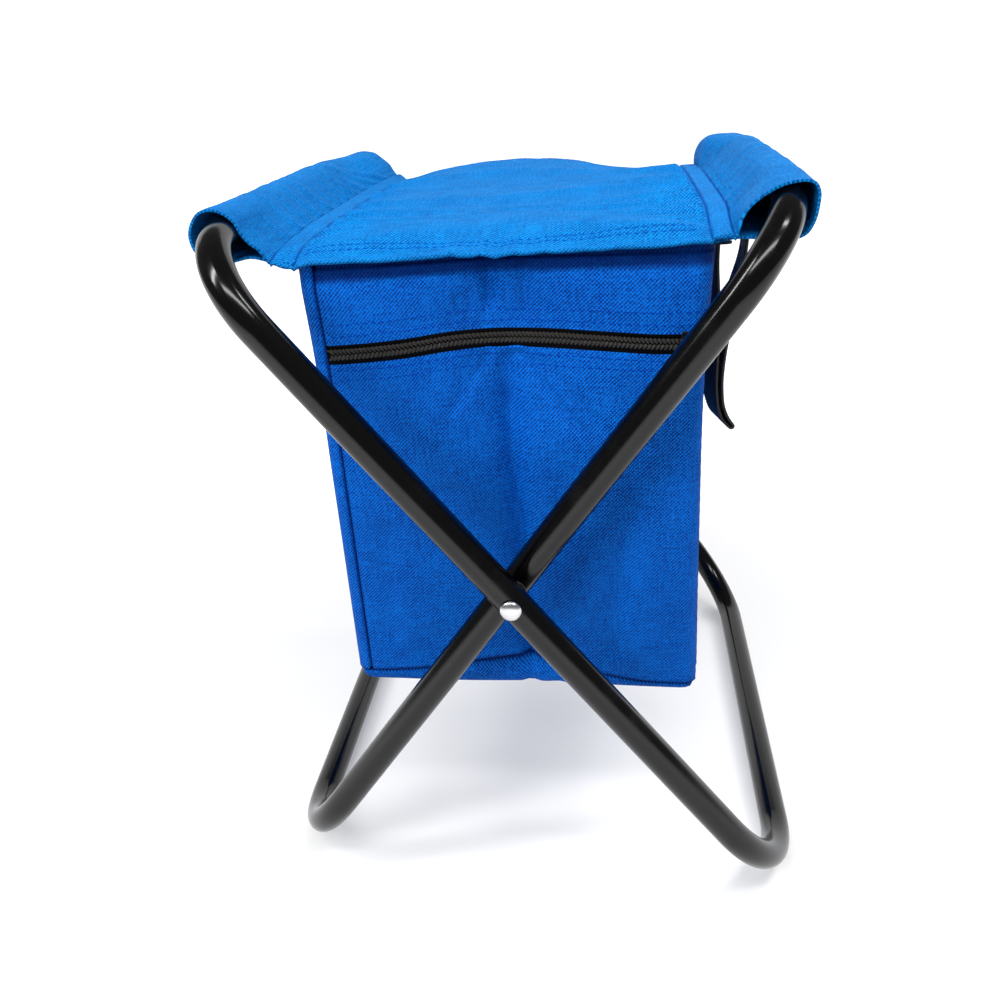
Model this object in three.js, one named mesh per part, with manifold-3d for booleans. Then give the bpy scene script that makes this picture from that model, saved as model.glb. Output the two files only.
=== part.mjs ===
// Folding cooler stool: two crossed tube loops, a cloth seat sewn round their top bars,
// and an insulated zipped bag hanging under the seat. Millimetres, +Z up, +Y away from the front.
// The origin is on the floor, under the pivot.
import * as THREE from 'three';
import { mergeVertices } from 'three/addons/utils/BufferGeometryUtils.js';
import Module from 'manifold-3d';

// Frame loops
const tubeDiameter = 16;
const tubeWall = 1;
const legAngle = THREE.MathUtils.degToRad(36.7);
const pivotToTopBar = 212;
const pivotToFootBar = 235;
const outerDepth = 330;
const topBend = 42;
const footBend = 56;
const pivotGap = 1.6;
const loopJointGap = 0.6;
const insertLength = 60;
const insertWall = 1.2;

// Pivot rivets
const shankDiameter = 6;
const headDiameter = 10.4;
const headHeight = 2.8;
const headRim = 0.6;
const clinchDiameter = 9;
const clinchHeight = 1.4;
const washerDiameter = 12;

// Seat cloth
const seatCloth = 1.6;
const seatLegGap = 13.4;
const bandReach = 31.7;
const bandWidth = 12;
const seatBelowBars = 11.4;
const seatBulge = 11;
const bulgeOffset = 16;
const bulgeWidth = 56;
const bulgeGrowth = 1.5;
const rippleHeight = 1.4;
const rippleCount = 3;
const rippleFadeShare = 1 / 4;
const hemWidth = 12;
const hemCloth = 1.5;

// Sleeves round the top bars
const sleeveCloth = 1.6;
const sleeveSag = new THREE.Vector2(2.4, 1.6);
const leftSleeveSetback = 4;
const rightSleeveSetback = 11;
const bandCloth = 2.1;

// Bag
const bagLegGap = 16.4;
const bagHeight = 234.9;
const bagCloth = 1.2;
const pocketSlack = 1.2;
const foamWall = 4;
const linerWall = 0.6;
const liningDrop = 2.7;
const facingCloth = 1;

// Zips
const pocketZipDrop = 37.8;
const mainZipInset = 10;
const zipBandWidth = 9.8;
const tapeCloth = 0.6;
const tapeWidth = 9;
const coilWidth = 2.35;
const coilDepth = 2;
const coilGap = 0.5;
const zipEndInset = 3;

// Zip sliders and pulls
const sliderLength = 11;
const sliderWidth = 8.6;
const plateThickness = 1.3;
const postLength = 1.5;
const postWidth = 4;
const pocketSliderInset = 1.5;
const mainSliderInset = 7.5;
const bailThickness = 1.2;
const bailReach = 3.4;
const bailHeight = 6;
const pullThickness = 1;
const pocketPullLength = 12.4;
const pocketPullWidth = 6;
const pullRim = 1.4;
const windowWidth = 3.2;
const windowHeight = 5;
const mainPullLength = 19;
const mainPullWidth = 5.6;
const pinDiameter = 2;
const pinCapDiameter = 3.8;
const pinCapHeight = 0.6;

// Carry strap
const webbing = 1.4;
const webbingWidth = 20;
const strapSpacing = 8;
const strapDrop = 104;
const strapGap = 6.3;
const strapInset = 51;

// General
const clearance = 0.3;
const overrun = 2;
const weldDepth = 0.5;
const tubeSides = 16;
const bendSteps = 7;
const roundSteps = 20;
const sleeveSteps = 14;
const seatColumns = 26;
const seatRows = 16;
const edgeSteps = 24;

// Places worked out from the sizes above
const tubeRadius = tubeDiameter / 2;
const pivotHeight = pivotToFootBar * Math.cos(legAngle) + tubeRadius;
const innerDepth = outerDepth - 2 * (tubeDiameter + pivotGap);
const topBarOffset = pivotToTopBar * Math.sin(legAngle);
const topBarHeight = pivotHeight + pivotToTopBar * Math.cos(legAngle);
const facetShare = 1 / Math.cos(Math.PI / tubeSides);
const seatDepth = innerDepth - tubeDiameter - 2 * seatLegGap;
const seatLevel = topBarHeight - seatBelowBars;
const hemTop = seatLevel - seatCloth / 2 - clearance;
const bandInner = topBarOffset - bandReach;
const bandOuter = bandInner + bandWidth;
const sleeveInside = tubeRadius * facetShare + clearance + sleeveSag.length();
const sleeveOutside = sleeveInside + sleeveCloth;
const bandBelowBars = Math.max(
  seatBelowBars + seatCloth / 2 + clearance + bandCloth,
  sleeveOutside + sleeveSag.y,
);
const bandLow = topBarHeight - bandBelowBars;

// The bag's side walls hang from the bands' inner edges, and its zips from the front hem
const bagHalf = bandInner;
const panelHalf = bagHalf - bagCloth - clearance;
const bagFront = bagLegGap - (innerDepth - tubeDiameter) / 2;
const bagFloor = hemTop - bagHeight;
const tapeFront = bagFront + bagCloth + clearance;
const coilMiddle = tapeFront + tapeCloth - coilDepth / 2;
const plateFace = coilDepth / 2 + clearance + plateThickness;
const pullLevel = plateFace + clearance;
const mainSliderTop = pullLevel + pullThickness + clearance + pinCapHeight;
const mainZipMiddle = bagFront + mainZipInset;
const mainZipHeight = hemTop - hemCloth - clearance - mainSliderTop;
const pocketZipHeight = mainZipHeight - pocketZipDrop;
const frontTop = mainZipHeight - tapeCloth / 2 - clearance;
const pocketBackFront = coilMiddle + plateFace + pocketSlack;
const foamTop = mainZipHeight - plateFace - liningDrop;
const pocketSliderEnd = panelHalf - pocketSliderInset;
const mainSliderEnd = panelHalf - mainSliderInset;

// Materials
function finish(color, roughness, metalness) {
  return new THREE.MeshStandardMaterial({ color, roughness, metalness });
}
const blackEnamel = finish(0x0c0c0e, 0.22, 0.1);
const brightSteel = finish(0xd6d6d8, 0.25, 1);
const greyNylon = finish(0x55585c, 0.5, 0);
const seatBlue = finish(0x1b7fd4, 0.8, 0);
const bagBlue = finish(0x0a55b8, 0.8, 0);
const blackTape = finish(0x101012, 0.7, 0);
const blackCoil = finish(0x17181a, 0.45, 0);
const blackMetal = finish(0x141416, 0.35, 0.8);
const whiteFoam = finish(0xe9ebee, 0.9, 0);
const silverFoil = finish(0xc6cacf, 0.3, 0.9);

// Solids: closed geometries joined or cut
const wasm = await Module();
wasm.setup();

function toSolid(geometry) {
  const bare = geometry.clone();
  bare.deleteAttribute('normal');
  bare.deleteAttribute('uv');
  const merged = mergeVertices(bare);
  const vertProperties = new Float32Array(merged.attributes.position.array);
  const triVerts = new Uint32Array(merged.index.array);
  return new wasm.Manifold(new wasm.Mesh({ numProp: 3, vertProperties, triVerts }));
}

function toGeometry(solid) {
  const mesh = solid.getMesh();
  const geometry = new THREE.BufferGeometry();
  geometry.setAttribute('position', new THREE.BufferAttribute(mesh.vertProperties, 3));
  geometry.setIndex(new THREE.BufferAttribute(mesh.triVerts, 1));
  geometry.computeVertexNormals();
  return geometry;
}

function joined(first, ...others) {
  return toGeometry(others.reduce((solid, other) => solid.add(toSolid(other)), toSolid(first)));
}

function cut(first, ...others) {
  return toGeometry(others.reduce((solid, other) => solid.subtract(toSolid(other)), toSolid(first)));
}

// A box from its low corner to its high corner
function block(low, high) {
  const size = high.map((value, i) => value - low[i]);
  const middle = high.map((value, i) => (value + low[i]) / 2);
  return new THREE.BoxGeometry(...size).translate(...middle);
}

// Outline points as vectors that run anticlockwise
function flatPoints(outline) {
  const points = outline.map(([x, y]) => new THREE.Vector2(x, y));
  return THREE.ShapeUtils.isClockWise(points) ? points.reverse() : points;
}

// An outline drawn as [x, z] pairs, carried along Y from start to end
function alongY(outline, start, end, hole) {
  const shape = new THREE.Shape(flatPoints(outline));
  if (hole) shape.holes.push(new THREE.Path(flatPoints(hole)));
  const geometry = new THREE.ExtrudeGeometry(shape, { depth: end - start, bevelEnabled: false });
  return geometry.rotateX(Math.PI / 2).translate(0, end, 0);
}

// An outline drawn as [y, z] pairs, carried along X from start to end
function alongX(outline, start, end) {
  const shape = new THREE.Shape(flatPoints(outline));
  const geometry = new THREE.ExtrudeGeometry(shape, { depth: end - start, bevelEnabled: false });
  return geometry.rotateX(Math.PI / 2).rotateZ(Math.PI / 2).translate(start, 0, 0);
}

function arc(centre, radius, from, to, steps) {
  return Array.from({ length: steps + 1 }, (_, i) => {
    const angle = from + ((to - from) * i) / steps;
    return [centre[0] + radius * Math.cos(angle), centre[1] + radius * Math.sin(angle)];
  });
}

function piece(name, geometry, material) {
  const mesh = new THREE.Mesh(geometry, material);
  mesh.name = name;
  return mesh;
}

function group(...children) {
  const result = new THREE.Group();
  result.add(...children);
  return result;
}

// A path given by its own stations, so that a tube has rings only where it bends
class StationPath extends THREE.Curve {
  constructor(stations) {
    super();
    this.stations = stations;
  }

  stationAt(share) {
    return this.stations[Math.round(share * (this.stations.length - 1))];
  }

  getPointAt(share) {
    return this.stationAt(share).point.clone();
  }

  getTangentAt(share, target = new THREE.Vector3()) {
    return target.copy(this.stationAt(share).tangent);
  }

  getSpacedPoints() {
    return this.stations.map((station) => station.point.clone());
  }
}

// Frame loops, drawn in the leg's own plane: +X runs down the leg, the pivot is at zero
function loopStations(depth) {
  const half = depth / 2;
  const corners = [
    [topBend - pivotToTopBar, half - topBend, topBend, Math.PI],
    [pivotToFootBar - footBend, half - footBend, footBend, Math.PI / 2],
    [pivotToFootBar - footBend, footBend - half, footBend, 0],
    [topBend - pivotToTopBar, topBend - half, topBend, -Math.PI / 2],
  ];
  const bends = corners.flatMap(([x, y, radius, from]) =>
    Array.from({ length: bendSteps + 1 }, (_, i) => {
      const angle = from - ((Math.PI / 2) * i) / bendSteps;
      return {
        point: new THREE.Vector3(x + radius * Math.cos(angle), y + radius * Math.sin(angle), 0),
        tangent: new THREE.Vector3(Math.sin(angle), -Math.cos(angle), 0),
      };
    }));
  const end = (y) => ({
    point: new THREE.Vector3(-pivotToTopBar, y, 0),
    tangent: new THREE.Vector3(0, 1, 0),
  });
  return [end(loopJointGap / 2), ...bends, end(-loopJointGap / 2)];
}

// The tube's section is turned with its leg, so that one of its flats lies on the floor
function loopTube(depth, turn) {
  const ring = (radius) => Array.from({ length: tubeSides }, (_, i) => {
    const angle = turn + ((i + 1 / 2) * 2 * Math.PI) / tubeSides;
    return new THREE.Vector2(radius * Math.cos(angle), radius * Math.sin(angle));
  });
  const section = new THREE.Shape(ring(tubeRadius * facetShare));
  section.holes.push(new THREE.Path(ring((tubeRadius - tubeWall) * facetShare)));
  const stations = loopStations(depth);
  const tube = new THREE.ExtrudeGeometry(section, {
    steps: stations.length - 1,
    extrudePath: new StationPath(stations),
  });
  const boreRadius = shankDiameter / 2 + clearance;
  const bore = (y) =>
    new THREE.CylinderGeometry(boreRadius, boreRadius, tubeDiameter + 2 * overrun, roundSteps)
      .translate(0, y, 0);
  return cut(tube, bore(depth / 2), bore(-depth / 2));
}

function jointInsert() {
  const outside = tubeRadius - tubeWall - clearance;
  const inside = outside - insertWall;
  const half = insertLength / 2;
  const profile = [[inside, -half], [outside, -half], [outside, half], [inside, half], [inside, -half]];
  return new THREE.LatheGeometry(profile.map(([r, y]) => new THREE.Vector2(r, y)), tubeSides)
    .translate(-pivotToTopBar, 0, 0);
}

function loopFrame(name, depth, turn) {
  const frame = group(
    piece(`${name}_loop_tube`, loopTube(depth, turn), blackEnamel),
    piece(`${name}_joint_insert`, jointInsert(), brightSteel),
  );
  frame.rotation.y = Math.PI / 2 + turn;
  frame.position.z = pivotHeight;
  return frame;
}

// Pivots, drawn along +Y for the rear one and turned round for the front one
function pivotRivet() {
  const outerFace = outerDepth / 2 + tubeRadius * facetShare + clearance;
  const innerFace = innerDepth / 2 - tubeRadius * facetShare - clearance;
  const shank = shankDiameter / 2;
  const head = headDiameter / 2;
  const dome = arc([0, outerFace + headRim], 1, 0, Math.PI / 2, roundSteps / 4)
    .map(([x, y]) => [x * head, outerFace + headRim + (y - outerFace - headRim) * (headHeight - headRim)]);
  const profile = [
    [0, innerFace - clinchHeight],
    [clinchDiameter / 2, innerFace - clinchHeight],
    [clinchDiameter / 2, innerFace],
    [shank, innerFace],
    [shank, outerFace],
    [head, outerFace],
    ...dome.slice(0, -1),
    [0, outerFace + headHeight],
  ];
  return new THREE.LatheGeometry(profile.map(([r, y]) => new THREE.Vector2(r, y)), roundSteps);
}

function pivotWasher() {
  const low = innerDepth / 2 + tubeRadius + clearance;
  const high = outerDepth / 2 - tubeRadius - clearance;
  const inside = shankDiameter / 2 + clearance;
  const outside = washerDiameter / 2;
  const profile = [[inside, low], [outside, low], [outside, high], [inside, high], [inside, low]];
  return new THREE.LatheGeometry(profile.map(([r, y]) => new THREE.Vector2(r, y)), roundSteps);
}

function pivotPieces(side, turn) {
  const pieces = group(
    piece(`${side}_pivot_rivet`, pivotRivet(), brightSteel),
    piece(`${side}_pivot_washer`, pivotWasher(), greyNylon),
  );
  pieces.rotation.z = turn;
  pieces.position.z = pivotHeight;
  return pieces;
}

// How far the slack seat cloth rises above its flat level: a bulge that grows towards the back,
// and soft folds that run from band to band and fade out at the bands and at the front hem
function seatLift(x, y) {
  const back = THREE.MathUtils.clamp(1 / 2 + y / seatDepth, 0, 1);
  const across = 1 - Math.min(1, Math.abs(x) / bandInner) ** 2;
  const bulge = seatBulge * back ** bulgeGrowth * Math.exp(-(((x + bulgeOffset) / bulgeWidth) ** 2));
  const ripple = rippleHeight * Math.sin(back * rippleCount * Math.PI) * Math.min(1, back / rippleFadeShare);
  return across * (bulge + ripple);
}

// The slack cloth: a plate of many columns and rows whose points are lifted by seatLift
function seatPanel() {
  const size = [2 * bandOuter, seatDepth, seatCloth, seatColumns, seatRows, 1];
  const plate = new THREE.BoxGeometry(...size).translate(0, 0, seatLevel);
  const points = plate.attributes.position;
  for (let i = 0; i < points.count; i += 1) {
    points.setZ(i, points.getZ(i) + seatLift(points.getX(i), points.getY(i)));
  }
  return plate;
}

// A hem is the cloth turned under along the seat's front or back edge
function seatHem(side) {
  const half = bandInner - clearance;
  const far = (side * seatDepth) / 2;
  const near = far - side * hemWidth;
  const top = (x) => hemTop + Math.min(seatLift(x, near), seatLift(x, far));
  const xs = Array.from({ length: edgeSteps + 1 }, (_, i) => -half + (2 * half * i) / edgeSteps);
  const outline = [
    ...xs.map((x) => [x, top(x) - hemCloth]),
    ...xs.map((x) => [x, top(x)]).reverse(),
  ];
  return alongY(outline, Math.min(near, far), Math.max(near, far));
}

// Where a straight line from a point outside a circle touches it, on the given side
function touchAngle(centre, radius, point, side) {
  const across = [point[0] - centre[0], point[1] - centre[1]];
  const distance = Math.hypot(...across);
  return Math.atan2(across[1], across[0]) + side * Math.acos(radius / distance);
}

// A sleeve is a slack loop of cloth round the top bar, closed by a flat band under the seat's edge.
// It is drawn as [x, z] from the bar's middle, with +x towards the seat.
function sleeve(length, mirror) {
  const centre = [-sleeveSag.x, -sleeveSag.y];
  const bandTop = hemTop - topBarHeight;
  const bandStart = topBarOffset - bandOuter;
  const bandEnd = topBarOffset - bandInner;
  const upper = touchAngle(centre, sleeveOutside, [bandStart, bandTop], 1);
  const lower = touchAngle(centre, sleeveOutside, [bandStart, -bandBelowBars], -1) + 2 * Math.PI;
  const outline = [
    [bandStart, -bandBelowBars],
    [bandEnd, -bandBelowBars],
    [bandEnd, bandTop],
    [bandStart, bandTop],
    ...arc(centre, sleeveOutside, upper, lower, sleeveSteps),
  ];
  const hollowArc = arc(centre, sleeveInside, upper, lower, sleeveSteps);
  const slope = -1 / Math.tan(upper);
  const tipHeight = sleeveCloth - bandBelowBars;
  const tip = [hollowArc[0][0] + (tipHeight - hollowArc[0][1]) / slope, tipHeight];
  const hollow = [tip, ...hollowArc];
  const place = ([x, z]) => [mirror * (topBarOffset - x), topBarHeight + z];
  return alongY(outline.map(place), -length / 2, length / 2, hollow.map(place));
}

// Carry strap: a folded loop of webbing that hangs from the right band
function carryStrap() {
  const top = bandLow - clearance;
  const outer = (strapSpacing + webbing) / 2;
  const inner = (strapSpacing - webbing) / 2;
  const turn = top - strapDrop + outer;
  const strapCentre = bagHalf + strapGap + outer;
  const middle = strapInset - seatDepth / 2;
  const steps = roundSteps / 2;
  const outline = [
    [strapCentre - outer, top],
    ...arc([strapCentre, turn], outer, Math.PI, 2 * Math.PI, steps),
    [strapCentre + outer, top],
    [strapCentre + inner, top],
    ...arc([strapCentre, turn], inner, 2 * Math.PI, Math.PI, steps),
    [strapCentre - inner, top],
  ];
  return alongY(outline, middle - webbingWidth / 2, middle + webbingWidth / 2);
}

// Bag walls
const zipHalf = zipBandWidth / 2;
const gussetInner = bagHalf - bagCloth;
const facingPlace = mainZipMiddle + coilGap / 2 + coilWidth + tapeWidth;

function frontWall(low, high) {
  return block([-panelHalf, bagFront, low], [panelHalf, bagFront + bagCloth, high]);
}

function pocketBackPanel() {
  const low = [-panelHalf, pocketBackFront, bagFloor + bagCloth + clearance];
  return block(low, [panelHalf, pocketBackFront + bagCloth, foamTop]);
}

// The back wall's top edge follows the slack seat cloth above it
function backPanel() {
  const xs = Array.from({ length: edgeSteps + 1 }, (_, i) => panelHalf - (2 * panelHalf * i) / edgeSteps);
  const far = -bagFront;
  const hemLine = (x) => hemTop - hemCloth - clearance
    + Math.min(seatLift(x, seatDepth / 2 - hemWidth), seatLift(x, seatDepth / 2));
  const outline = [
    [-panelHalf, bagFloor],
    [panelHalf, bagFloor],
    ...xs.map((x) => [x, hemLine(x)]),
  ];
  return alongY(outline, far - bagCloth, far);
}

function bottomPanel() {
  const reach = -bagFront - bagCloth - clearance;
  return block([-panelHalf, -reach, bagFloor], [panelHalf, reach, bagFloor + bagCloth]);
}

// A gusset's front corner is cut down so that the main zip's pull can pass over it
function gusset(side) {
  const top = bandLow - clearance;
  const outline = [
    [bagFront, bagFloor],
    [-bagFront, bagFloor],
    [-bagFront, top],
    [facingPlace, top],
    [facingPlace, frontTop],
    [bagFront, frontTop],
  ];
  return side > 0 ? alongX(outline, gussetInner, bagHalf) : alongX(outline, -bagHalf, -gussetInner);
}

// The strip that joins the main zip's rear tape to the seat's underside
function topFacing() {
  const low = mainZipHeight + tapeCloth / 2 + clearance;
  const sewn = facingPlace - tapeWidth / 2;
  const outline = [
    [sewn, low],
    [facingPlace + facingCloth, low],
    [facingPlace + facingCloth, seatLevel - seatCloth / 2 - clearance],
    [facingPlace, seatLevel - seatCloth / 2 - clearance],
    [facingPlace, low + facingCloth],
    [sewn, low + facingCloth],
  ];
  return alongX(outline, -panelHalf, panelHalf);
}

// A box with one wall thickness and no lid
function openBox(low, high, wall) {
  const inLow = low.map((value) => value + wall);
  const inHigh = [high[0] - wall, high[1] - wall, high[2] + overrun];
  return cut(block(low, high), block(inLow, inHigh));
}

const foamLow = [
  -panelHalf,
  pocketBackFront + bagCloth + clearance,
  bagFloor + bagCloth + clearance,
];
const foamHigh = [panelHalf, -bagFront - bagCloth - clearance, foamTop];

function foamInsulation() {
  return openBox(foamLow, foamHigh, foamWall);
}

function foilLiner() {
  const gap = foamWall + clearance;
  const high = [foamHigh[0] - gap, foamHigh[1] - gap, foamTop];
  return openBox(foamLow.map((value) => value + gap), high, linerWall);
}

// Zips. Both run along X: the pocket's stands in the front wall, the main one lies under the hem.
const zipStart = zipEndInset - panelHalf;
const zipEnd = panelHalf - zipEndInset;
const tapeEdge = coilGap / 2 + coilWidth + clearance;

function standingZip(side) {
  const z = (offset) => pocketZipHeight + side * offset;
  const span = (a, b) => [Math.min(z(a), z(b)), Math.max(z(a), z(b))];
  const [tapeLow, tapeHigh] = span(tapeEdge, tapeEdge + tapeWidth);
  const [coilLow, coilHigh] = span(coilGap / 2, coilGap / 2 + coilWidth);
  const tape = block([zipStart, tapeFront, tapeLow], [zipEnd, tapeFront + tapeCloth, tapeHigh]);
  const coilEnd = pocketSliderEnd - postLength - clearance;
  const coil = block(
    [zipStart, coilMiddle - coilDepth / 2, coilLow],
    [coilEnd, coilMiddle + coilDepth / 2, coilHigh],
  );
  return [tape, coil];
}

function lyingZip(side) {
  const y = (offset) => mainZipMiddle + side * offset;
  const span = (a, b) => [Math.min(y(a), y(b)), Math.max(y(a), y(b))];
  const [tapeLow, tapeHigh] = span(tapeEdge, tapeEdge + (side < 0 ? mainZipInset - tapeEdge : tapeWidth));
  const [coilLow, coilHigh] = span(coilGap / 2, coilGap / 2 + coilWidth);
  const low = mainZipHeight - tapeCloth / 2;
  const tape = block([zipStart, tapeLow, low], [zipEnd, tapeHigh, low + tapeCloth]);
  const coilEnd = mainSliderEnd - postLength - clearance;
  const coil = block(
    [zipStart, coilLow, mainZipHeight - coilDepth / 2],
    [coilEnd, coilHigh, mainZipHeight + coilDepth / 2],
  );
  return [tape, coil];
}

// A slider lying flat: two plates over and under the coils, joined by a post at its nose.
// Its end is at x zero, its middle at y zero and z zero.
function sliderBody() {
  const half = sliderWidth / 2;
  const plateLow = coilDepth / 2 + clearance;
  const plate = (low) => block([-sliderLength, -half, low], [0, half, low + plateThickness]);
  const post = block(
    [-postLength, -postWidth / 2, -plateLow - weldDepth],
    [0, postWidth / 2, plateLow + weldDepth],
  );
  return joined(plate(plateLow), plate(-plateLow - plateThickness), post);
}

// The pocket slider stands upright, with a bail over its front plate for the pull
const bailMiddle = -sliderLength / 2;

function pocketSlider() {
  const half = bailHeight / 2;
  const wire = bailThickness / 2;
  const foot = (low) => block(
    [bailMiddle - wire, low, plateFace - weldDepth],
    [bailMiddle + wire, low + bailThickness, plateFace + bailReach],
  );
  const bar = block(
    [bailMiddle - wire, -half, plateFace + bailReach - bailThickness],
    [bailMiddle + wire, half, plateFace + bailReach],
  );
  const body = joined(sliderBody(), foot(-half), foot(half - bailThickness), bar);
  return body.rotateX(Math.PI / 2).translate(pocketSliderEnd, coilMiddle, pocketZipHeight);
}

// Its pull hangs from the bail by the rim above its window
const pullAxis = plateFace + (bailReach - bailThickness) / 2;

function pocketPull() {
  const half = pullThickness / 2;
  const round = pocketPullWidth / 2;
  const rim = pullRim / 2;
  const bottom = round - pocketPullLength;
  const end = arc([0, bottom], round, Math.PI, 2 * Math.PI, roundSteps / 2);
  const outline = [[round, rim], [-round, rim], ...end];
  const window = [
    [-windowWidth / 2, -rim],
    [-windowWidth / 2, -rim - windowHeight],
    [windowWidth / 2, -rim - windowHeight],
    [windowWidth / 2, -rim],
  ];
  const place = [pocketSliderEnd + bailMiddle, coilMiddle - pullAxis, pocketZipHeight];
  return alongY(outline, -half, half, window).translate(...place);
}

// The main slider lies flat, with an upright pin near its nose for the pull to turn on
const pinPlace = -pinCapDiameter / 2;

function mainSlider() {
  const pin = pinDiameter / 2;
  const top = mainSliderTop - pinCapHeight;
  const pinStart = plateFace - weldDepth;
  const shaft = new THREE.CylinderGeometry(pin, pin, top - pinStart, roundSteps)
    .rotateX(Math.PI / 2).translate(pinPlace, 0, (top + pinStart) / 2);
  const cap = new THREE.CylinderGeometry(pinCapDiameter / 2, pinCapDiameter / 2, pinCapHeight, roundSteps)
    .rotateX(Math.PI / 2).translate(pinPlace, 0, top + pinCapHeight / 2);
  return joined(sliderBody(), shaft, cap).translate(mainSliderEnd, mainZipMiddle, mainZipHeight);
}

function mainPull() {
  const round = mainPullWidth / 2;
  const far = mainPullLength - round;
  const eye = pinDiameter / 2 + clearance;
  const shape = new THREE.Shape([
    ...arc([0, 0], round, Math.PI / 2, (3 * Math.PI) / 2, roundSteps / 2),
    ...arc([far, 0], round, -Math.PI / 2, Math.PI / 2, roundSteps / 2),
  ].map(([x, y]) => new THREE.Vector2(x, y)));
  shape.holes.push(new THREE.Path(
    arc([0, 0], eye, 0, 2 * Math.PI, roundSteps).slice(1).map(([x, y]) => new THREE.Vector2(x, y)),
  ));
  const place = [mainSliderEnd + pinPlace, mainZipMiddle, mainZipHeight + pullLevel];
  return new THREE.ExtrudeGeometry(shape, { depth: pullThickness, bevelEnabled: false })
    .translate(...place);
}

// Assembly
const frames = group(
  loopFrame('outer', outerDepth, -legAngle),
  loopFrame('inner', innerDepth, legAngle),
  pivotPieces('rear', 0),
  pivotPieces('front', Math.PI),
);

const seat = group(
  piece('left_sleeve', sleeve(seatDepth - 2 * leftSleeveSetback, -1), seatBlue),
  piece('right_sleeve', sleeve(seatDepth - 2 * rightSleeveSetback, 1), seatBlue),
  piece('seat_panel', seatPanel(), seatBlue),
  piece('seat_front_hem', seatHem(-1), seatBlue),
  piece('seat_rear_hem', seatHem(1), seatBlue),
  piece('carry_strap', carryStrap(), blackTape),
);

const bag = group(
  piece('front_upper_panel', frontWall(pocketZipHeight + zipHalf, frontTop), bagBlue),
  piece('pocket_front_panel', frontWall(bagFloor, pocketZipHeight - zipHalf), bagBlue),
  piece('pocket_back_panel', pocketBackPanel(), bagBlue),
  piece('bag_back_panel', backPanel(), bagBlue),
  piece('bag_bottom_panel', bottomPanel(), bagBlue),
  piece('left_gusset', gusset(-1), bagBlue),
  piece('right_gusset', gusset(1), bagBlue),
  piece('bag_top_facing', topFacing(), bagBlue),
  piece('foam_insulation', foamInsulation(), whiteFoam),
  piece('foil_liner', foilLiner(), silverFoil),
);

const [pocketUpperTape, pocketUpperCoil] = standingZip(1);
const [pocketLowerTape, pocketLowerCoil] = standingZip(-1);
const [mainFrontTape, mainFrontCoil] = lyingZip(-1);
const [mainRearTape, mainRearCoil] = lyingZip(1);

const zips = group(
  piece('pocket_zip_upper_tape', pocketUpperTape, blackTape),
  piece('pocket_zip_lower_tape', pocketLowerTape, blackTape),
  piece('pocket_zip_upper_coil', pocketUpperCoil, blackCoil),
  piece('pocket_zip_lower_coil', pocketLowerCoil, blackCoil),
  piece('pocket_zip_slider', pocketSlider(), blackMetal),
  piece('pocket_zip_pull', pocketPull(), blackMetal),
  piece('main_zip_front_tape', mainFrontTape, blackTape),
  piece('main_zip_rear_tape', mainRearTape, blackTape),
  piece('main_zip_front_coil', mainFrontCoil, blackCoil),
  piece('main_zip_rear_coil', mainRearCoil, blackCoil),
  piece('main_zip_slider', mainSlider(), blackMetal),
  piece('main_zip_pull', mainPull(), blackMetal),
);

export default group(frames, seat, bag, zips);
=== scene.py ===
import math

import bmesh
import bpy
import numpy as np
from mathutils import Matrix, Vector


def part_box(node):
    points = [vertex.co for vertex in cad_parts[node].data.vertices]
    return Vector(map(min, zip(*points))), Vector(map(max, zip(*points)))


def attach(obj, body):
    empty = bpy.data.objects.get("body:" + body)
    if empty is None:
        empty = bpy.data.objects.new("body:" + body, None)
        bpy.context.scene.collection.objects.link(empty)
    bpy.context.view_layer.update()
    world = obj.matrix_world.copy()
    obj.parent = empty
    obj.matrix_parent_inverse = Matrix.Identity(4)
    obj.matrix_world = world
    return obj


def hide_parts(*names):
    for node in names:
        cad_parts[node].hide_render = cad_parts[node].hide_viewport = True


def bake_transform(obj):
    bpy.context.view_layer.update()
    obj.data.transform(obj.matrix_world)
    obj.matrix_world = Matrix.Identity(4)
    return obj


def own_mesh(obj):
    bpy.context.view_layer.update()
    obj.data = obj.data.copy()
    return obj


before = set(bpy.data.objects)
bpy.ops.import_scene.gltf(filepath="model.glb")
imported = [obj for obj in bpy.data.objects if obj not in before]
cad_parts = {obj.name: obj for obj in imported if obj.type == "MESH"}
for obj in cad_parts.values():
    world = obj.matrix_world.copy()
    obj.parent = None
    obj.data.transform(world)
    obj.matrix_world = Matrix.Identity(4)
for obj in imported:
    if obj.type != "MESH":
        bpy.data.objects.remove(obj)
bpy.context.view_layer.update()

metre = 1000
random = np.random.default_rng(7)
print("frame loaded:", len(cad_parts), "nodes")


# Curves and masks on whole arrays

def smooth(share):
    # Rises from 0 to 1 as 3t^2 - 2t^3, level at both ends
    share = np.clip(share, 0, 1)
    return share * share * (3 - 2 * share)


def hump(value, centre, width):
    # A bell: e to the minus square of the distance in widths
    return np.exp(-(((value - centre) / width) ** 2))


def within(x, reach, power):
    # 1 in the middle, falling to 0 at the reach
    return 1 - np.clip(np.abs(x) / reach, 0, 1) ** power


def through(places, values, at):
    # A smooth curve through values at rising places: cubic stretches whose slopes at the places
    # are the gradient of the values
    places, values = np.asarray(places, float), np.asarray(values, float)
    slopes = np.gradient(values, places, axis=0)
    at = np.asarray(at, float)
    start = np.clip(np.searchsorted(places, at) - 1, 0, len(places) - 2)
    width = places[start + 1] - places[start]
    t = np.clip((at - places[start]) / width, 0, 1)
    if values.ndim > 1:
        width, t = width[..., None], t[..., None]
    rise = (1 + 2 * t) * (1 - t) ** 2 * values[start] + t * t * (3 - 2 * t) * values[start + 1]
    return rise + t * (1 - t) * width * ((1 - t) * slopes[start] - t * slopes[start + 1])


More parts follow.
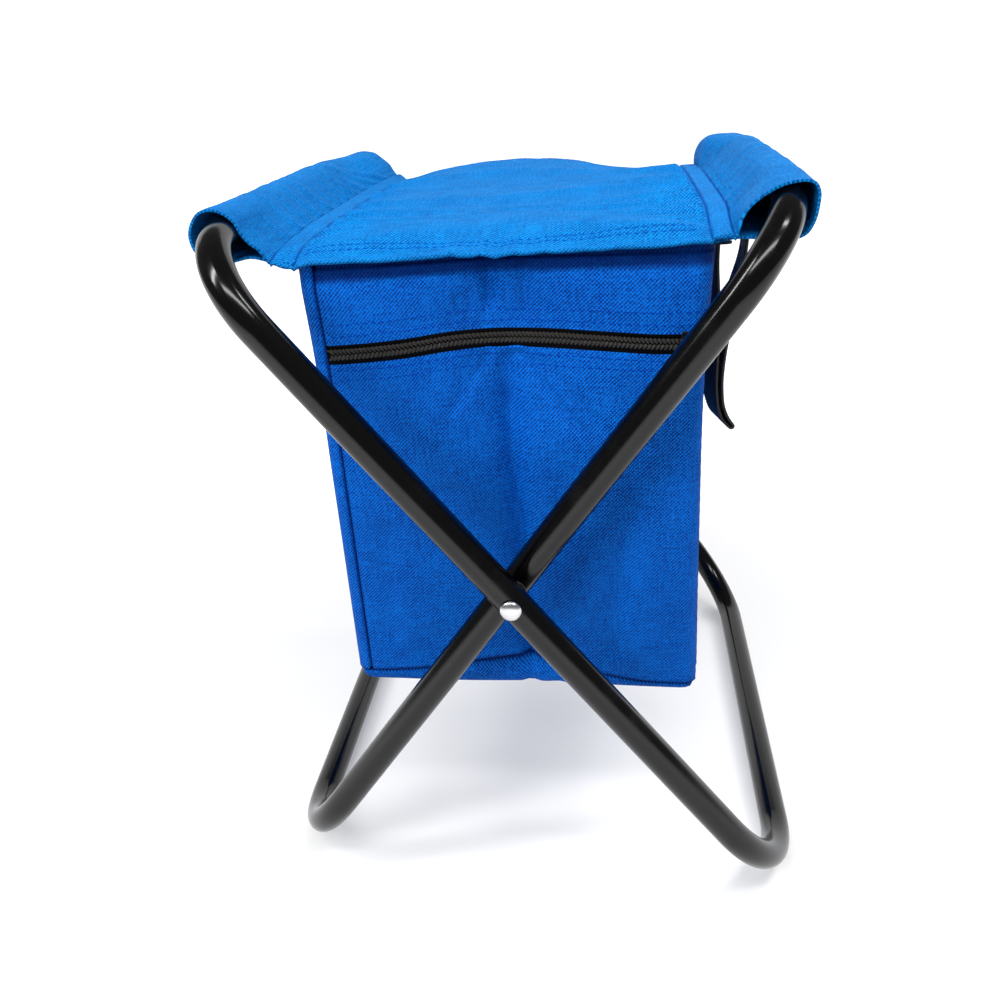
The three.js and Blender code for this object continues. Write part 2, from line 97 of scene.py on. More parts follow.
def waves(x, y, spans, height, state=None):
    # Soft unevenness: a sum of plane waves with the lengths in spans and random headings. A
    # state makes the same draw each time, so that what lies on a cloth follows it
    if state:
        random.bit_generator.state = state
    total = np.zeros(np.broadcast(x, y).shape)
    for span in spans:
        heading, phase = random.uniform(0, np.pi), random.uniform(0, 2 * np.pi)
        total += np.sin(2 * np.pi * (x * np.cos(heading) + y * np.sin(heading)) / span + phase)
    return height * total / len(spans)


def grid(first, second):
    return np.meshgrid(first, second, indexing="ij")


def joined(*parts):
    # Points from their coordinates, each an array or one number for all
    return np.stack(np.broadcast_arrays(*parts), -1)


def unit(ways):
    return ways / np.maximum(np.linalg.norm(ways, axis=-1, keepdims=True), 1e-9)


def circle(steps):
    return np.linspace(0, 2 * np.pi, steps, endpoint=False)


def lengths(points):
    # How far along a line each of its points lies
    steps = np.linalg.norm(np.diff(points, axis=0), axis=-1)
    return np.concatenate([[0], np.cumsum(steps)])


def onLine(line, at, values=None):
    # A line's points, or values that belong to them, at distances along it
    values = line if values is None else values
    return np.stack([np.interp(at, lengths(line), column) for column in values.T], -1)


# Meshes

def addObject(name, data):
    made = bpy.data.objects.new(name, data)
    bpy.context.scene.collection.objects.link(made)
    return made


def makeMesh(name, points, faces, uvs=None, awayFrom=(0, 0, 0), grooveAndShade=None):
    # The faces are turned round if they look towards awayFrom on balance: the sum over the
    # faces of area vector times the way from that point is positive when they look outwards.
    # The last argument gives each point's painted shade, from 0 to 1, by which the finish darkens its
    # colour: shade painted into seams and stitch lines, and a shadow painted under the seat's hem
    points = np.asarray(points, float).reshape(-1, 3)
    a, b, c, d = (points[corner] for corner in faces.T)
    if (np.cross(c - a, d - b) * (a - np.array(awayFrom))).sum() < 0:
        faces = faces[:, ::-1]
        uvs = uvs[:, ::-1] if uvs is not None else None
    mesh = bpy.data.meshes.new(name)
    mesh.from_pydata((points / metre).tolist(), [], faces.tolist())
    if uvs is not None:
        layer = mesh.uv_layers.new(name="cloth")
        layer.uv.foreach_set("vector", np.ascontiguousarray(uvs, np.float32).ravel())
    if grooveAndShade is not None:
        layer = mesh.attributes.new("grooveAndShade", "FLOAT", "POINT")
        layer.data.foreach_set("value", np.clip(grooveAndShade, 0, 1).astype(np.float32).ravel())
    mesh.shade_smooth()
    return addObject(name, mesh)


def makeSurface(name, points, uv=None, closed=(False, False), awayFrom=(0, 0, 0), grooveAndShade=None):
    # A grid of points becomes quads; a closed direction joins its last row to its first, and
    # uv then has one more row or column than the points
    rows, columns = points.shape[:2]
    i, j = grid(np.arange(rows - (not closed[0])), np.arange(columns - (not closed[1])))
    corners = [(0, 0), (1, 0), (1, 1), (0, 1)]
    faces = joined(*((i + p) % rows * columns + (j + q) % columns for p, q in corners))
    uvs = None
    if uv is not None:
        uvs = np.stack([uv[i + p, j + q] for p, q in corners], -2).reshape(-1, 4, 2)
    return makeMesh(name, points, faces.reshape(-1, 4), uvs, awayFrom, grooveAndShade)


def bevel(piece, width, segments, angle):
    edge = piece.modifiers.new("edge", "BEVEL")
    edge.width, edge.segments = width / metre, segments
    edge.limit_method, edge.angle_limit = "ANGLE", math.radians(angle)
    return edge


def thicken(piece, thickness, rounding=0.3, offset=-1):
    solid = piece.modifiers.new("thickness", "SOLIDIFY")
    solid.thickness, solid.offset = thickness / metre, offset
    if rounding:
        bevel(piece, rounding, 2, 50)
    return piece


def merge(source, target, flatAngle=None):
    # Doubled points become one, and the faces of a flat side are joined again on request
    work = bmesh.new()
    work.from_mesh(source)
    bmesh.ops.remove_doubles(work, verts=work.verts, dist=1e-6)
    if flatAngle:
        bmesh.ops.dissolve_limit(work, angle_limit=flatAngle, verts=work.verts, edges=work.edges)
    work.to_mesh(target)
    work.free()


def mergePoles(piece):
    merge(piece.data, piece.data)
    return piece


def dress(piece, finish, body=None, stands=()):
    piece.data.materials.clear()
    piece.data.materials.append(finish)
    if body:
        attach(piece, body)
    if stands:
        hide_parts(*stands)
    return piece


# Shader maths: sums on wires add Math nodes

def operator(operation, turned=False):
    def apply(self, *other):
        return self.finish.maths(operation, *((*other, self) if turned else (self, *other)))
    return apply


class Wire:
    def __init__(self, finish, socket):
        self.finish, self.socket = finish, socket

    __add__, __radd__ = operator("ADD"), operator("ADD", True)
    __sub__, __rsub__ = operator("SUBTRACT"), operator("SUBTRACT", True)
    __mul__, __rmul__ = operator("MULTIPLY"), operator("MULTIPLY", True)
    __pow__, __abs__ = operator("POWER"), operator("ABSOLUTE")


class Finish:
    def __init__(self, name, shader="ShaderNodeBsdfPrincipled"):
        self.material = bpy.data.materials.new(name)
        self.material.use_nodes = True
        self.tree = self.material.node_tree
        self.tree.nodes.clear()
        self.shader = self.tree.nodes.new(shader)
        output = self.tree.nodes.new("ShaderNodeOutputMaterial")
        self.tree.links.new(self.shader.outputs[0], output.inputs["Surface"])

    def feed(self, node, inputs):
        for name, value in inputs.items():
            if isinstance(value, Wire):
                self.tree.links.new(value.socket, node.inputs[name])
            else:
                node.inputs[name].default_value = value

    def node(self, kind, settings=None, inputs=None, output=0):
        made = self.tree.nodes.new(kind)
        for name, value in (settings or {}).items():
            setattr(made, name, value)
        self.feed(made, inputs or {})
        return Wire(self, made.outputs[output])

    def maths(self, operation, *values):
        return self.node("ShaderNodeMath", {"operation": operation}, dict(enumerate(values)))

    def shade(self, **inputs):
        self.feed(self.shader, {name.replace("_", " "): value for name, value in inputs.items()})
        return self.material

    def places(self):
        return self.node("ShaderNodeTexCoord", output="Object")

    def uv(self):
        return self.parts(self.node("ShaderNodeUVMap", {"uv_map": "cloth"}))[:2]

    def parts(self, vector):
        split = self.node("ShaderNodeSeparateXYZ", inputs={0: vector})
        return [Wire(self, socket) for socket in split.socket.node.outputs]

    def vector(self, x, y, z=0):
        return self.node("ShaderNodeCombineXYZ", inputs={0: x, 1: y, 2: z})

    def noise(self, vector, scale, detail=2, roughness=0.5):
        inputs = {"Vector": vector, "Scale": scale, "Detail": detail, "Roughness": roughness}
        return self.node("ShaderNodeTexNoise", inputs=inputs)

    def cells(self, vector, scale):
        # The distance to the middle of the nearest cell
        inputs = {"Vector": vector, "Scale": scale}
        return self.node("ShaderNodeTexVoronoi", inputs=inputs, output="Distance")

    def ease(self, value, low, high):
        # 0 below low, 1 above high, and a smooth step between
        inputs = {"Value": value, "From Min": low, "From Max": high}
        return self.node("ShaderNodeMapRange", {"interpolation_type": "SMOOTHSTEP"}, inputs)

    def mix(self, share, first, second):
        return self.node("ShaderNodeMix", {"data_type": "RGBA"}, {0: share, 6: first, 7: second}, 2)

    def bump(self, height, depth, strength=1):
        inputs = {"Height": height, "Distance": depth / metre, "Strength": strength}
        return self.node("ShaderNodeBump", inputs=inputs)


def colour(red, green, blue, factor=1):
    return (red * factor, green * factor, blue * factor, 1)


# Finishes: tones as red, green and blue, pitches and bump depths in millimetres

oxford = {"pitch": 0.95, "rib": 0.22, "slub": 0.7, "patch": 0.5, "grain": 1.3, "bump": 0.2}


def oxfordFinish(name, light, dark, seam):
    # Plain weave on the cloth's own millimetres. The product of two sines is above zero where the
    # warp thread lies on top and below zero where the weft does; its size is the thread's crown.
    # A little of the slanting rib that the rows of crowns draw in one direction is added
    finish = Finish(name)
    across, along = finish.uv()
    turn = math.pi / oxford["pitch"]
    rib = finish.maths("COSINE", (across - along) * turn)
    cell = finish.maths("SINE", across * turn) * finish.maths("SINE", along * turn)
    cell = cell + rib * oxford["rib"]
    over = finish.ease(cell, -0.35, 0.35)
    crown = abs(cell) ** 0.5
    # Thick threads either way, wide soft patches and a fine grain
    slub = finish.noise(finish.vector(across * 0.9, along * 0.08), 1)
    pick = finish.noise(finish.vector(across * 0.08, along * 0.9), 1)
    patch = finish.noise(finish.vector(across, along), 0.035, 3)
    grain = finish.noise(finish.vector(across, along), 0.75)
    # The cells where the warp lies on top, and the threads' crowns, are painted lighter as a painted sheen
    # of the threads; the thick threads, patches and grain are tone that differs at random
    level = over * 0.6 + crown * 0.3 + (slub + pick - 1) * oxford["slub"]
    level = level + (patch - 0.5) * oxford["patch"] + (grain - 0.5) * oxford["grain"]
    cloth = finish.mix(finish.ease(level, 0.02, 0.95), colour(*dark), colour(*light))
    # Points in seams, at stitch lines and under the seat's hem are mixed towards a darker tone: painted
    # shade, and a painted shadow of the hem
    grooveAndShade = finish.node("ShaderNodeAttribute", {"attribute_name": "grooveAndShade"}, output="Fac")
    return finish.shade(
        Base_Color=finish.mix(grooveAndShade, cloth, colour(*seam)), Roughness=0.72 - over * 0.12,
        Normal=finish.bump(crown * 0.8 + over * 0.2, oxford["bump"], 0.9), Specular_IOR_Level=0.08)


def enamelFinish():
    # Baked black enamel: a faint orange peel, and dull rubbed patches
    finish = Finish("blackEnamel")
    place = finish.places()
    peel = finish.noise(place, 420, 1)
    rub = finish.ease(finish.noise(place, 38, 4, 0.65), 0.5, 0.78)
    scratch = finish.ease(finish.noise(place, 900, 2, 0.7), 0.66, 0.74) * rub
    base = finish.mix(rub, colour(0.0012, 0.0012, 0.0015), colour(0.004, 0.004, 0.0045))
    return finish.shade(
        Base_Color=base, Roughness=0.16 + rub * 0.07 + scratch * 0.25,
        Normal=finish.bump(peel, 0.02, 0.2), Specular_IOR_Level=0.36)


def metalFinish(name, tone, roughness):
    # Fine grain, and stains where the tone is a little darker
    finish = Finish(name)
    place = finish.places()
    fine, stain = finish.noise(place, 600, 3, 0.6), finish.noise(place, 90, 3)
    base = finish.mix(finish.ease(stain, 0.35, 0.75), colour(*tone), colour(*tone, 0.82))
    return finish.shade(
        Base_Color=base, Metallic=1.0, Roughness=roughness + (fine - 0.5) * 0.18,
        Normal=finish.bump(fine, 0.02, 0.2))


def plasticFinish(name, dark, light, roughness, scale, depth, strength):
    finish = Finish(name)
    grain = finish.noise(finish.places(), scale)
    return finish.shade(
        Base_Color=finish.mix(grain, colour(*dark), colour(*light)), Roughness=roughness + grain * 0.12,
        Normal=finish.bump(grain, depth, strength))


def webbingFinish(name, pitch, tone, roughness):
    # Ribs run along the webbing, and each is crossed by slanting picks
    finish = Finish(name)
    across, along = finish.uv()
    rib = abs(finish.maths("SINE", across * (math.pi / pitch)))
    pick = (along + finish.maths("PINGPONG", across, pitch)) * (math.pi / (0.55 * pitch))
    height = rib * 0.7 + abs(finish.maths("SINE", pick)) * 0.3
    wear = finish.noise(finish.vector(across, along), 0.3, 3)
    base = finish.mix(height * 0.6 + wear * 0.3, colour(*tone), colour(*tone, 2.6))
    return finish.shade(
        Base_Color=base, Roughness=roughness + (wear - 0.5) * 0.2, Normal=finish.bump(height, 0.18, 0.8),
        Specular_IOR_Level=0.3)


def foamFinish():
    finish = Finish("whiteFoam")
    cell = finish.cells(finish.places(), 900)
    base = finish.mix(cell, colour(0.62, 0.64, 0.67), colour(0.82, 0.83, 0.84))
    return finish.shade(Base_Color=base, Roughness=0.88, Normal=finish.bump(cell, 0.15, 0.6))


def foilFinish():
    # Crinkled foil: facets from cells of two sizes
    finish = Finish("silverFoil")
    place = finish.places()
    large, small = finish.cells(place, 70), finish.cells(place, 230)
    height = large * 0.7 + small * 0.3
    base = finish.mix(height, colour(0.5, 0.52, 0.54), colour(0.74, 0.75, 0.77))
    return finish.shade(
        Base_Color=base, Metallic=0.85, Roughness=0.28 + small * 0.15, Normal=finish.bump(height, 0.6, 0.7))


def threadFinish(name, tone):
    finish = Finish(name)
    twist = abs(finish.maths("SINE", finish.parts(finish.places())[0] * 9000))
    return finish.shade(
        Base_Color=finish.mix(twist, colour(*tone), colour(*tone, 1.5)), Roughness=0.8,
        Normal=finish.bump(twist, 0.03, 0.5), Specular_IOR_Level=0.06)


# The seat's cloth is given a lighter, more cyan tone than the bag's, as painted light and sheen on the
# seat's top; the bag's is the shaded tone. Each last tone is the painted shade mixed in at seams, and on
# the bag also the painted shadow under the seat's hem
seatBlue = oxfordFinish("seatOxford", (0.003, 0.238, 0.66), (0.0003, 0.056, 0.24), (0.0002, 0.03, 0.19))
bagBlue = oxfordFinish("bagOxford", (0.0015, 0.165, 0.72), (0.0002, 0.026, 0.22), (0.0002, 0.008, 0.1))
blackEnamel = enamelFinish()
plainSteel = metalFinish("plainSteel", (0.55, 0.55, 0.54), 0.35)
brightRivet = metalFinish("brightRivet", (0.72, 0.73, 0.74), 0.3)
zipMetal = metalFinish("zipMetal", (0.03, 0.03, 0.032), 0.34)
greyNylon = plasticFinish("greyNylon", (0.012, 0.013, 0.015), (0.022, 0.023, 0.025), 0.42, 500, 0.02, 1)
webbingBlack = webbingFinish("webbingBlack", 1.6, (0.007, 0.007, 0.008), 0.5)
zipTape = webbingFinish("zipTape", 0.7, (0.0012, 0.0012, 0.0015), 0.8)
zipCoil = plasticFinish("zipCoil", (0.02, 0.019, 0.017), (0.045, 0.042, 0.038), 0.3, 700, 0.01, 0.3)
whiteFoam = foamFinish()
silverFoil = foilFinish()
seatThread = threadFinish("seatThread", (0.0003, 0.055, 0.34))
bagThread = threadFinish("bagThread", (0.0002, 0.03, 0.27))
print("finishes made:", len(bpy.data.materials))


# Frame loops: round tube swept along a rounded rectangle in the leg's leaning plane

loops = {
    "radius": 8, "wall": 1, "lean": math.radians(36.7), "topReach": 212, "footReach": 235,
    "depth": 330, "topBend": 42, "footBend": 56, "pivotGap": 1.6, "jointGap": 0.6,
    "sides": 40, "bendSteps": 24,
}
leanSine, leanCosine = math.sin(loops["lean"]), math.cos(loops["lean"])
pivotZ = loops["footReach"] * leanCosine + loops["radius"]
innerDepth = loops["depth"] - 2 * (2 * loops["radius"] + loops["pivotGap"])
barX = loops["topReach"] * leanSine
barZ = pivotZ + loops["topReach"] * leanCosine


def loopLine(depth):
    # Quarter circles at the four corners, each given by its middle, radius and first angle;
    # the first and last points are the ends of the tube on either side of its joint
    top, foot, half = loops["topBend"], loops["footBend"], depth / 2
    topU, footU = top - loops["topReach"], loops["footReach"] - foot
    bends = [(topU, half - top, top, 2), (footU, half - foot, foot, 1),
             (footU, foot - half, foot, 0), (topU, top - half, top, -1)]
    turn = np.linspace(0, np.pi / 2, loops["bendSteps"] + 1)
    places, ways = [], []
    for u, y, radius, quarter in bends:
        angle = quarter * np.pi / 2 - turn
        places.append(joined(u + radius * np.cos(angle), y + radius * np.sin(angle)))
        ways.append(joined(np.sin(angle), -np.cos(angle)))
    first, last = ([[-loops["topReach"], side * loops["jointGap"] / 2]] for side in (1, -1))
    straight = [[0.0, 1.0]]
    return np.concatenate([first, *places, last]), np.concatenate([straight, *ways, straight])


def makeLoop(name, depth, side, node):
    # Each station carries a circle, out on the tube's face and back along its bore
    line, way = loopLine(depth)
    line, way = np.concatenate([line, line[::-1]]), np.concatenate([way, way[::-1]])
    radius = np.repeat([loops["radius"], loops["radius"] - loops["wall"]], len(line) // 2)[:, None]
    angle = circle(loops["sides"])
    out, w = radius * np.cos(angle), radius * np.sin(angle)
    u, y = line[:, :1] + out * way[:, 1:], line[:, 1:] - out * way[:, :1]
    points = joined(side * u * leanSine + w * leanCosine, y, pivotZ - u * leanCosine + side * w * leanSine)
    piece = makeSurface(name, points, closed=(True, True))
    dress(piece, blackEnamel, f"{node}_frame", [f"{node}_loop_tube"])
    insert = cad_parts[f"{node}_joint_insert"].data.materials
    insert.clear()
    insert.append(plainSteel)


makeLoop("outerTube", loops["depth"], 1, "outer")
makeLoop("innerTube", innerDepth, -1, "inner")


# Pivot rivets and washers: profiles turned about the pivot's axis

rivets = {
    "shank": 3, "head": 5.2, "headHeight": 2.8, "rim": 0.5, "clinch": 4.5, "clinchHeight": 1.4,
    "washer": 6, "washerEdge": 0.2, "gap": 0.3, "steps": 64, "domeSteps": 14, "sharpAngle": 40,
}


def makeTurned(name, profile, side, finish, node, closed=False):
    # Each profile point, a radius and a place along Y, goes round the pivot's axis
    radius, y = np.asarray(profile, float).T[..., None]
    angle = circle(rivets["steps"])
    points = joined(radius * np.cos(angle), side * y, pivotZ + radius * np.sin(angle))
    piece = mergePoles(makeSurface(name, points, closed=(closed, True)))
    dress(piece, finish, "outer_frame", [node])
    piece.data.set_sharp_from_angle(angle=math.radians(rivets["sharpAngle"]))


def makePivot(word, side):
    # The rivet runs from its clinched end inside both loops to its domed head outside, and the
    # washer lies between the tubes
    shank, head, clinch = rivets["shank"], rivets["head"], rivets["clinch"]
    reach = loops["radius"] + rivets["gap"]
    outside, inside = loops["depth"] / 2 + reach, innerDepth / 2 - reach
    end, crown = inside - rivets["clinchHeight"], rivets["headHeight"] - rivets["rim"]
    dome = np.linspace(0, np.pi / 2, rivets["domeSteps"])
    profile = np.concatenate([
        [(0, end), (clinch * 0.8, end), (clinch, inside - rivets["clinchHeight"] * 0.6)],
        [(clinch, inside), (shank, inside), (shank, outside), (head * 0.97, outside)],
        [(head, outside + 0.15)],
        joined(head * np.cos(dome) ** 0.9, outside + rivets["rim"] + crown * np.sin(dome) ** 1.1),
    ])
    makeTurned(f"{word}Rivet", profile, side, brightRivet, f"{word}_pivot_rivet")
    low, high = innerDepth / 2 + reach, loops["depth"] / 2 - reach
    hole, rim, edge = shank + rivets["gap"], rivets["washer"], rivets["washerEdge"]
    ring = [(hole, low), (rim - edge, low), (rim, low + edge),
            (rim, high - edge), (rim - edge, high), (hole, high)]
    makeTurned(f"{word}Washer", ring, side, greyNylon, f"{word}_pivot_washer", True)


makePivot("front", -1)
makePivot("rear", 1)
print("frame tubes and pivots done")


# Seat cloth: one slack sheet between the outer stitch lines, with its front and back edges rolled

seat = {
    "half": 105.5, "reach": 126, "flatReach": 125, "level": 355.8, "cloth": 1.2,
    "inner": 96, "outer": 105, "bandLift": 4.2, "bandRaise": 1.0, "grooveAndShade": 0.7,
    "roll": 1.1, "rollSteps": 8, "rollPitch": 0.43, "creaseGain": 4.4,
    "hemStart": 112.5, "hemHalf": 93.5, "hemRows": (114.5, 117.5), "hemGroove": 0.2, "hemCloth": 0.8,
}
seamLines = (seat["inner"] - 0.8, seat["outer"] + 0.2)
# One fold slants across the front left of the seat
slant = {"start": (-40, -84), "way": (36, 56), "height": 1.5, "width": 6}
# Middle x at the front edge, height, width
hemCreases = [
    (-22, 0.5, 2.6), (-9, 0.9, 2.2), (-2, -0.8, 2.0), (6, 0.7, 2.4), (20, 0.4, 3.0), (52, 0.4, 4.0),
]
# Side, place on the stitch line, slope, height, reach, width
seatCreases = [
    (1, -104, 0.22, 0.9, 34, 4.2), (1, -88, 0.12, 1.2, 60, 5.0), (1, -70, 0.05, 1.0, 42, 4.2),
    (1, -52, -0.02, 1.2, 66, 5.5), (1, -30, -0.10, 0.9, 40, 4.6), (1, -6, -0.06, 1.1, 52, 6.0),
    (1, 24, 0.05, 0.9, 36, 6.0), (1, 60, 0.12, 1.0, 44, 7.0), (1, 95, 0.15, 0.8, 30, 6.0),
    (-1, -108, 0.30, 0.9, 30, 4.5), (-1, -84, 0.10, 1.0, 52, 5.0), (-1, -58, 0.02, 0.9, 36, 5.0),
    (-1, -34, -0.05, 1.1, 50, 6.0), (-1, -4, -0.05, 0.8, 34, 6.0), (-1, 30, 0.08, 1.0, 42, 7.0),
    (-1, 70, 0.05, 0.9, 36, 7.0), (-1, 104, 0.02, 0.7, 28, 6.0),
]


def spaced(*stretches):
    # Rising places from stretches of low, high and step, mirrored about zero
    places = np.concatenate([np.arange(*stretch) for stretch in stretches])
    return np.concatenate([-places[:0:-1], places])


def bandHeight(y):
    # The sewn band rises towards its middle and drops a little at both ends
    return seat["level"] + seat["bandLift"] * (1 - (np.abs(y) / seat["reach"]) ** 3.5)


def seatMiddle(y):
    # The height of the cloth along its middle line, from the front edge to the back edge
    places = [-126, -118, -108, -97, -86, -72, -52, -34, -14, 6, 26, 50, 78, 104, 118, 126]
    heights = [353.6, 355.2, 358.4, 361.4, 362.3, 360.4, 358.4, 359.2, 361.9, 362.6, 361.1, 362.8,
               366.0, 367.8, 367.6, 366.9]
    return through(places, heights, y)


def rearShare(y):
    return np.clip((y - 20) / 105, 0, 1) ** 1.7


def cornerLift(x, y):
    # The rear left corner is pulled up towards the bar
    return through([-105.5, -95, -85, -75], [5.8, 2.0, 0.3, 0], x) * rearShare(y)


def cornerShift(x, y):
    # The left band runs inwards to its rear end, and the right band a little to its front end
    left = through([-118, -105.2, -95.2, -85, -70, -60], [0, 9, 6, 3.5, 1, 0], x) * rearShare(y)
    return left - 2.5 * smooth((x - 80) / 22) * smooth((118 - x) / 12) * smooth((-y - 60) / 60)


def nearHemRows(x, y, width):
    return sum(hump(np.abs(y), row, width) for row in seat["hemRows"]) * smooth((95 - np.abs(x)) / 2)


def nearSeams(x, width):
    return sum(hump(np.abs(x), line, width) for line in seamLines)


def slantFold(x, y):
    # A low ridge along a slanting line, which fades at both of its ends
    fromX, fromY, wayX, wayY = x - slant["start"][0], y - slant["start"][1], *slant["way"]
    along = (fromX * wayX + fromY * wayY) / (wayX ** 2 + wayY ** 2)
    across = (fromX * wayY - fromY * wayX) / math.hypot(wayX, wayY)
    ends = smooth(along / 0.25) * smooth((1 - along) / 0.35)
    return slant["height"] * hump(across, 0, slant["width"]) * ends


def seatHeight(x, y):
    # The middle line's height, its ridges bent towards the front at the sides, eased to the
    # band's height at the bands, with long creases that start at the stitch lines
    fromFront = y + seat["reach"]
    bend = smooth(fromFront / 22) * smooth((-20 - y) / 50) * 0.0046 * (x + 5) ** 2
    bend = bend + hump(y, 0, 40) * 0.22 * x
    middle = seatMiddle(np.clip(y + bend, -seat["reach"], seat["reach"]))
    near = within(x, 97, 5)
    far = through([-97, -85, -67, -45, -25, -11, 10, 29, 45, 63, 80, 97],
                  [0, 0.24, 0.62, 0.86, 0.97, 1, 0.9, 0.66, 0.34, 0.08, 0.0, 0], x)
    share = near + (far - near) * smooth((y - 5) / 100)
    inside = 1 - smooth((-x - 93) / 13)
    low = bandHeight(y) - (0.4 + 1.8 * inside) * smooth((-x - 40) / 30)
    z = low + cornerLift(x, y) + (middle - low) * share + slantFold(x, y)
    for middleX, height, width in hemCreases:
        z = z + height * hump(x, middleX + 0.15 * fromFront, width) * smooth((-96 - y) / 16)
    for side, start, slope, height, reach, width in seatCreases:
        way = seat["inner"] - side * x
        fold = height * seat["creaseGain"] * hump(y, start + slope * way, width)
        z = z + fold * np.exp(-np.abs(way) / reach) * smooth(way / 6)
    # The front corners dip, the bands stand up and the stitch lines pull in
    z = z - (3.0 * hump(x, -99, 7) + 0.8 * hump(x, 94, 6)) * hump(y, -128, 11)
    band = smooth((np.abs(x) - seat["inner"] + 1.5) / 1.5) * smooth((seat["outer"] + 1 - np.abs(x)) / 1.5)
    z = z + seat["bandRaise"] * band - seat["grooveAndShade"] * nearSeams(x, 0.7)
    return z - seat["hemGroove"] * nearHemRows(x, y, 0.8)


# The waves of the seat start from this draw
seatDraw = random.bit_generator.state


def seatPoint(x, y):
    uneven = waves(x, y, (23, 31, 44, 58, 17), 0.55, seatDraw) * within(x, 96, 6)
    return joined(x + cornerShift(x, y), y, seatHeight(x, y) + uneven)


def acrossSeat(piece):
    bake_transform(piece)


def makeSeat():
    # Columns and rows lie closer together at the stitch lines; past the front and back edges
    # the rows go down and under on a half circle
    x, y = grid(
        spaced((0, 94, 1.5), (94, 97, 0.4), (97.4, 104, 1.3), (104.2, 105.3, 0.4), (seat["half"], 106, 1)),
        spaced((0, 112, 1.6), (112.6, 119.5, 0.5), (120, 125.1, 1)))
    steps, edge = seat["rollSteps"], seat["flatReach"]
    angle = np.linspace(0, np.pi, steps + 1)[1:]
    drop = seat["roll"] * (np.cos(angle) - 1)
    rolls = [seatPoint(x[:, :1], np.full_like(x[:, :1], side * edge))
             + joined(0, side * seat["roll"] * np.sin(angle), drop) for side in (-1, 1)]
    points = np.concatenate([rolls[0][:, ::-1], seatPoint(x, y), rolls[1]], axis=1)
    past = edge + np.arange(1, steps + 1) * seat["rollPitch"]
    uv = joined(*grid(x[:, 0], np.concatenate([-past[::-1], y[0], past])))
    # The stitch lines and hem rows are darkened as painted shade
    grooveAndShade = 0.9 * nearSeams(x, 0.45) + 0.25 * nearHemRows(x, y, 0.5)
    grooveAndShade = np.pad(grooveAndShade, ((0, 0), (steps, steps)))
    piece = thicken(makeSurface("seatCloth", points, uv, grooveAndShade=grooveAndShade), seat["cloth"])
    dress(piece, seatBlue, stands=["seat_panel"])
    acrossSeat(piece)
    return piece


def makeHem(name, side, node):
    # The strip turned under along the front or back edge
    x, y = grid(np.linspace(-seat["hemHalf"], seat["hemHalf"], 100),
                np.linspace(side * seat["hemStart"], side * seat["flatReach"], 9))
    under = seatPoint(x, y) - [0, 0, 2 * seat["roll"] - 0.15]
    piece = makeSurface(name, under, joined(x, y), awayFrom=(0, 0, 1000))
    dress(thicken(piece, seat["hemCloth"]), seatBlue, stands=[node])
    acrossSeat(piece)
    return piece


seatCloth = makeSeat()
frontHem = makeHem("frontHem", -1, "seat_front_hem")
rearHem = makeHem("rearHem", 1, "seat_rear_hem")
print("seat cloth and hems done")


# Sleeves: a slack loop of cloth round each top bar. A section is drawn from the bar's middle,
# first number towards the seat, second number up, and changes from the mouths to the middle.

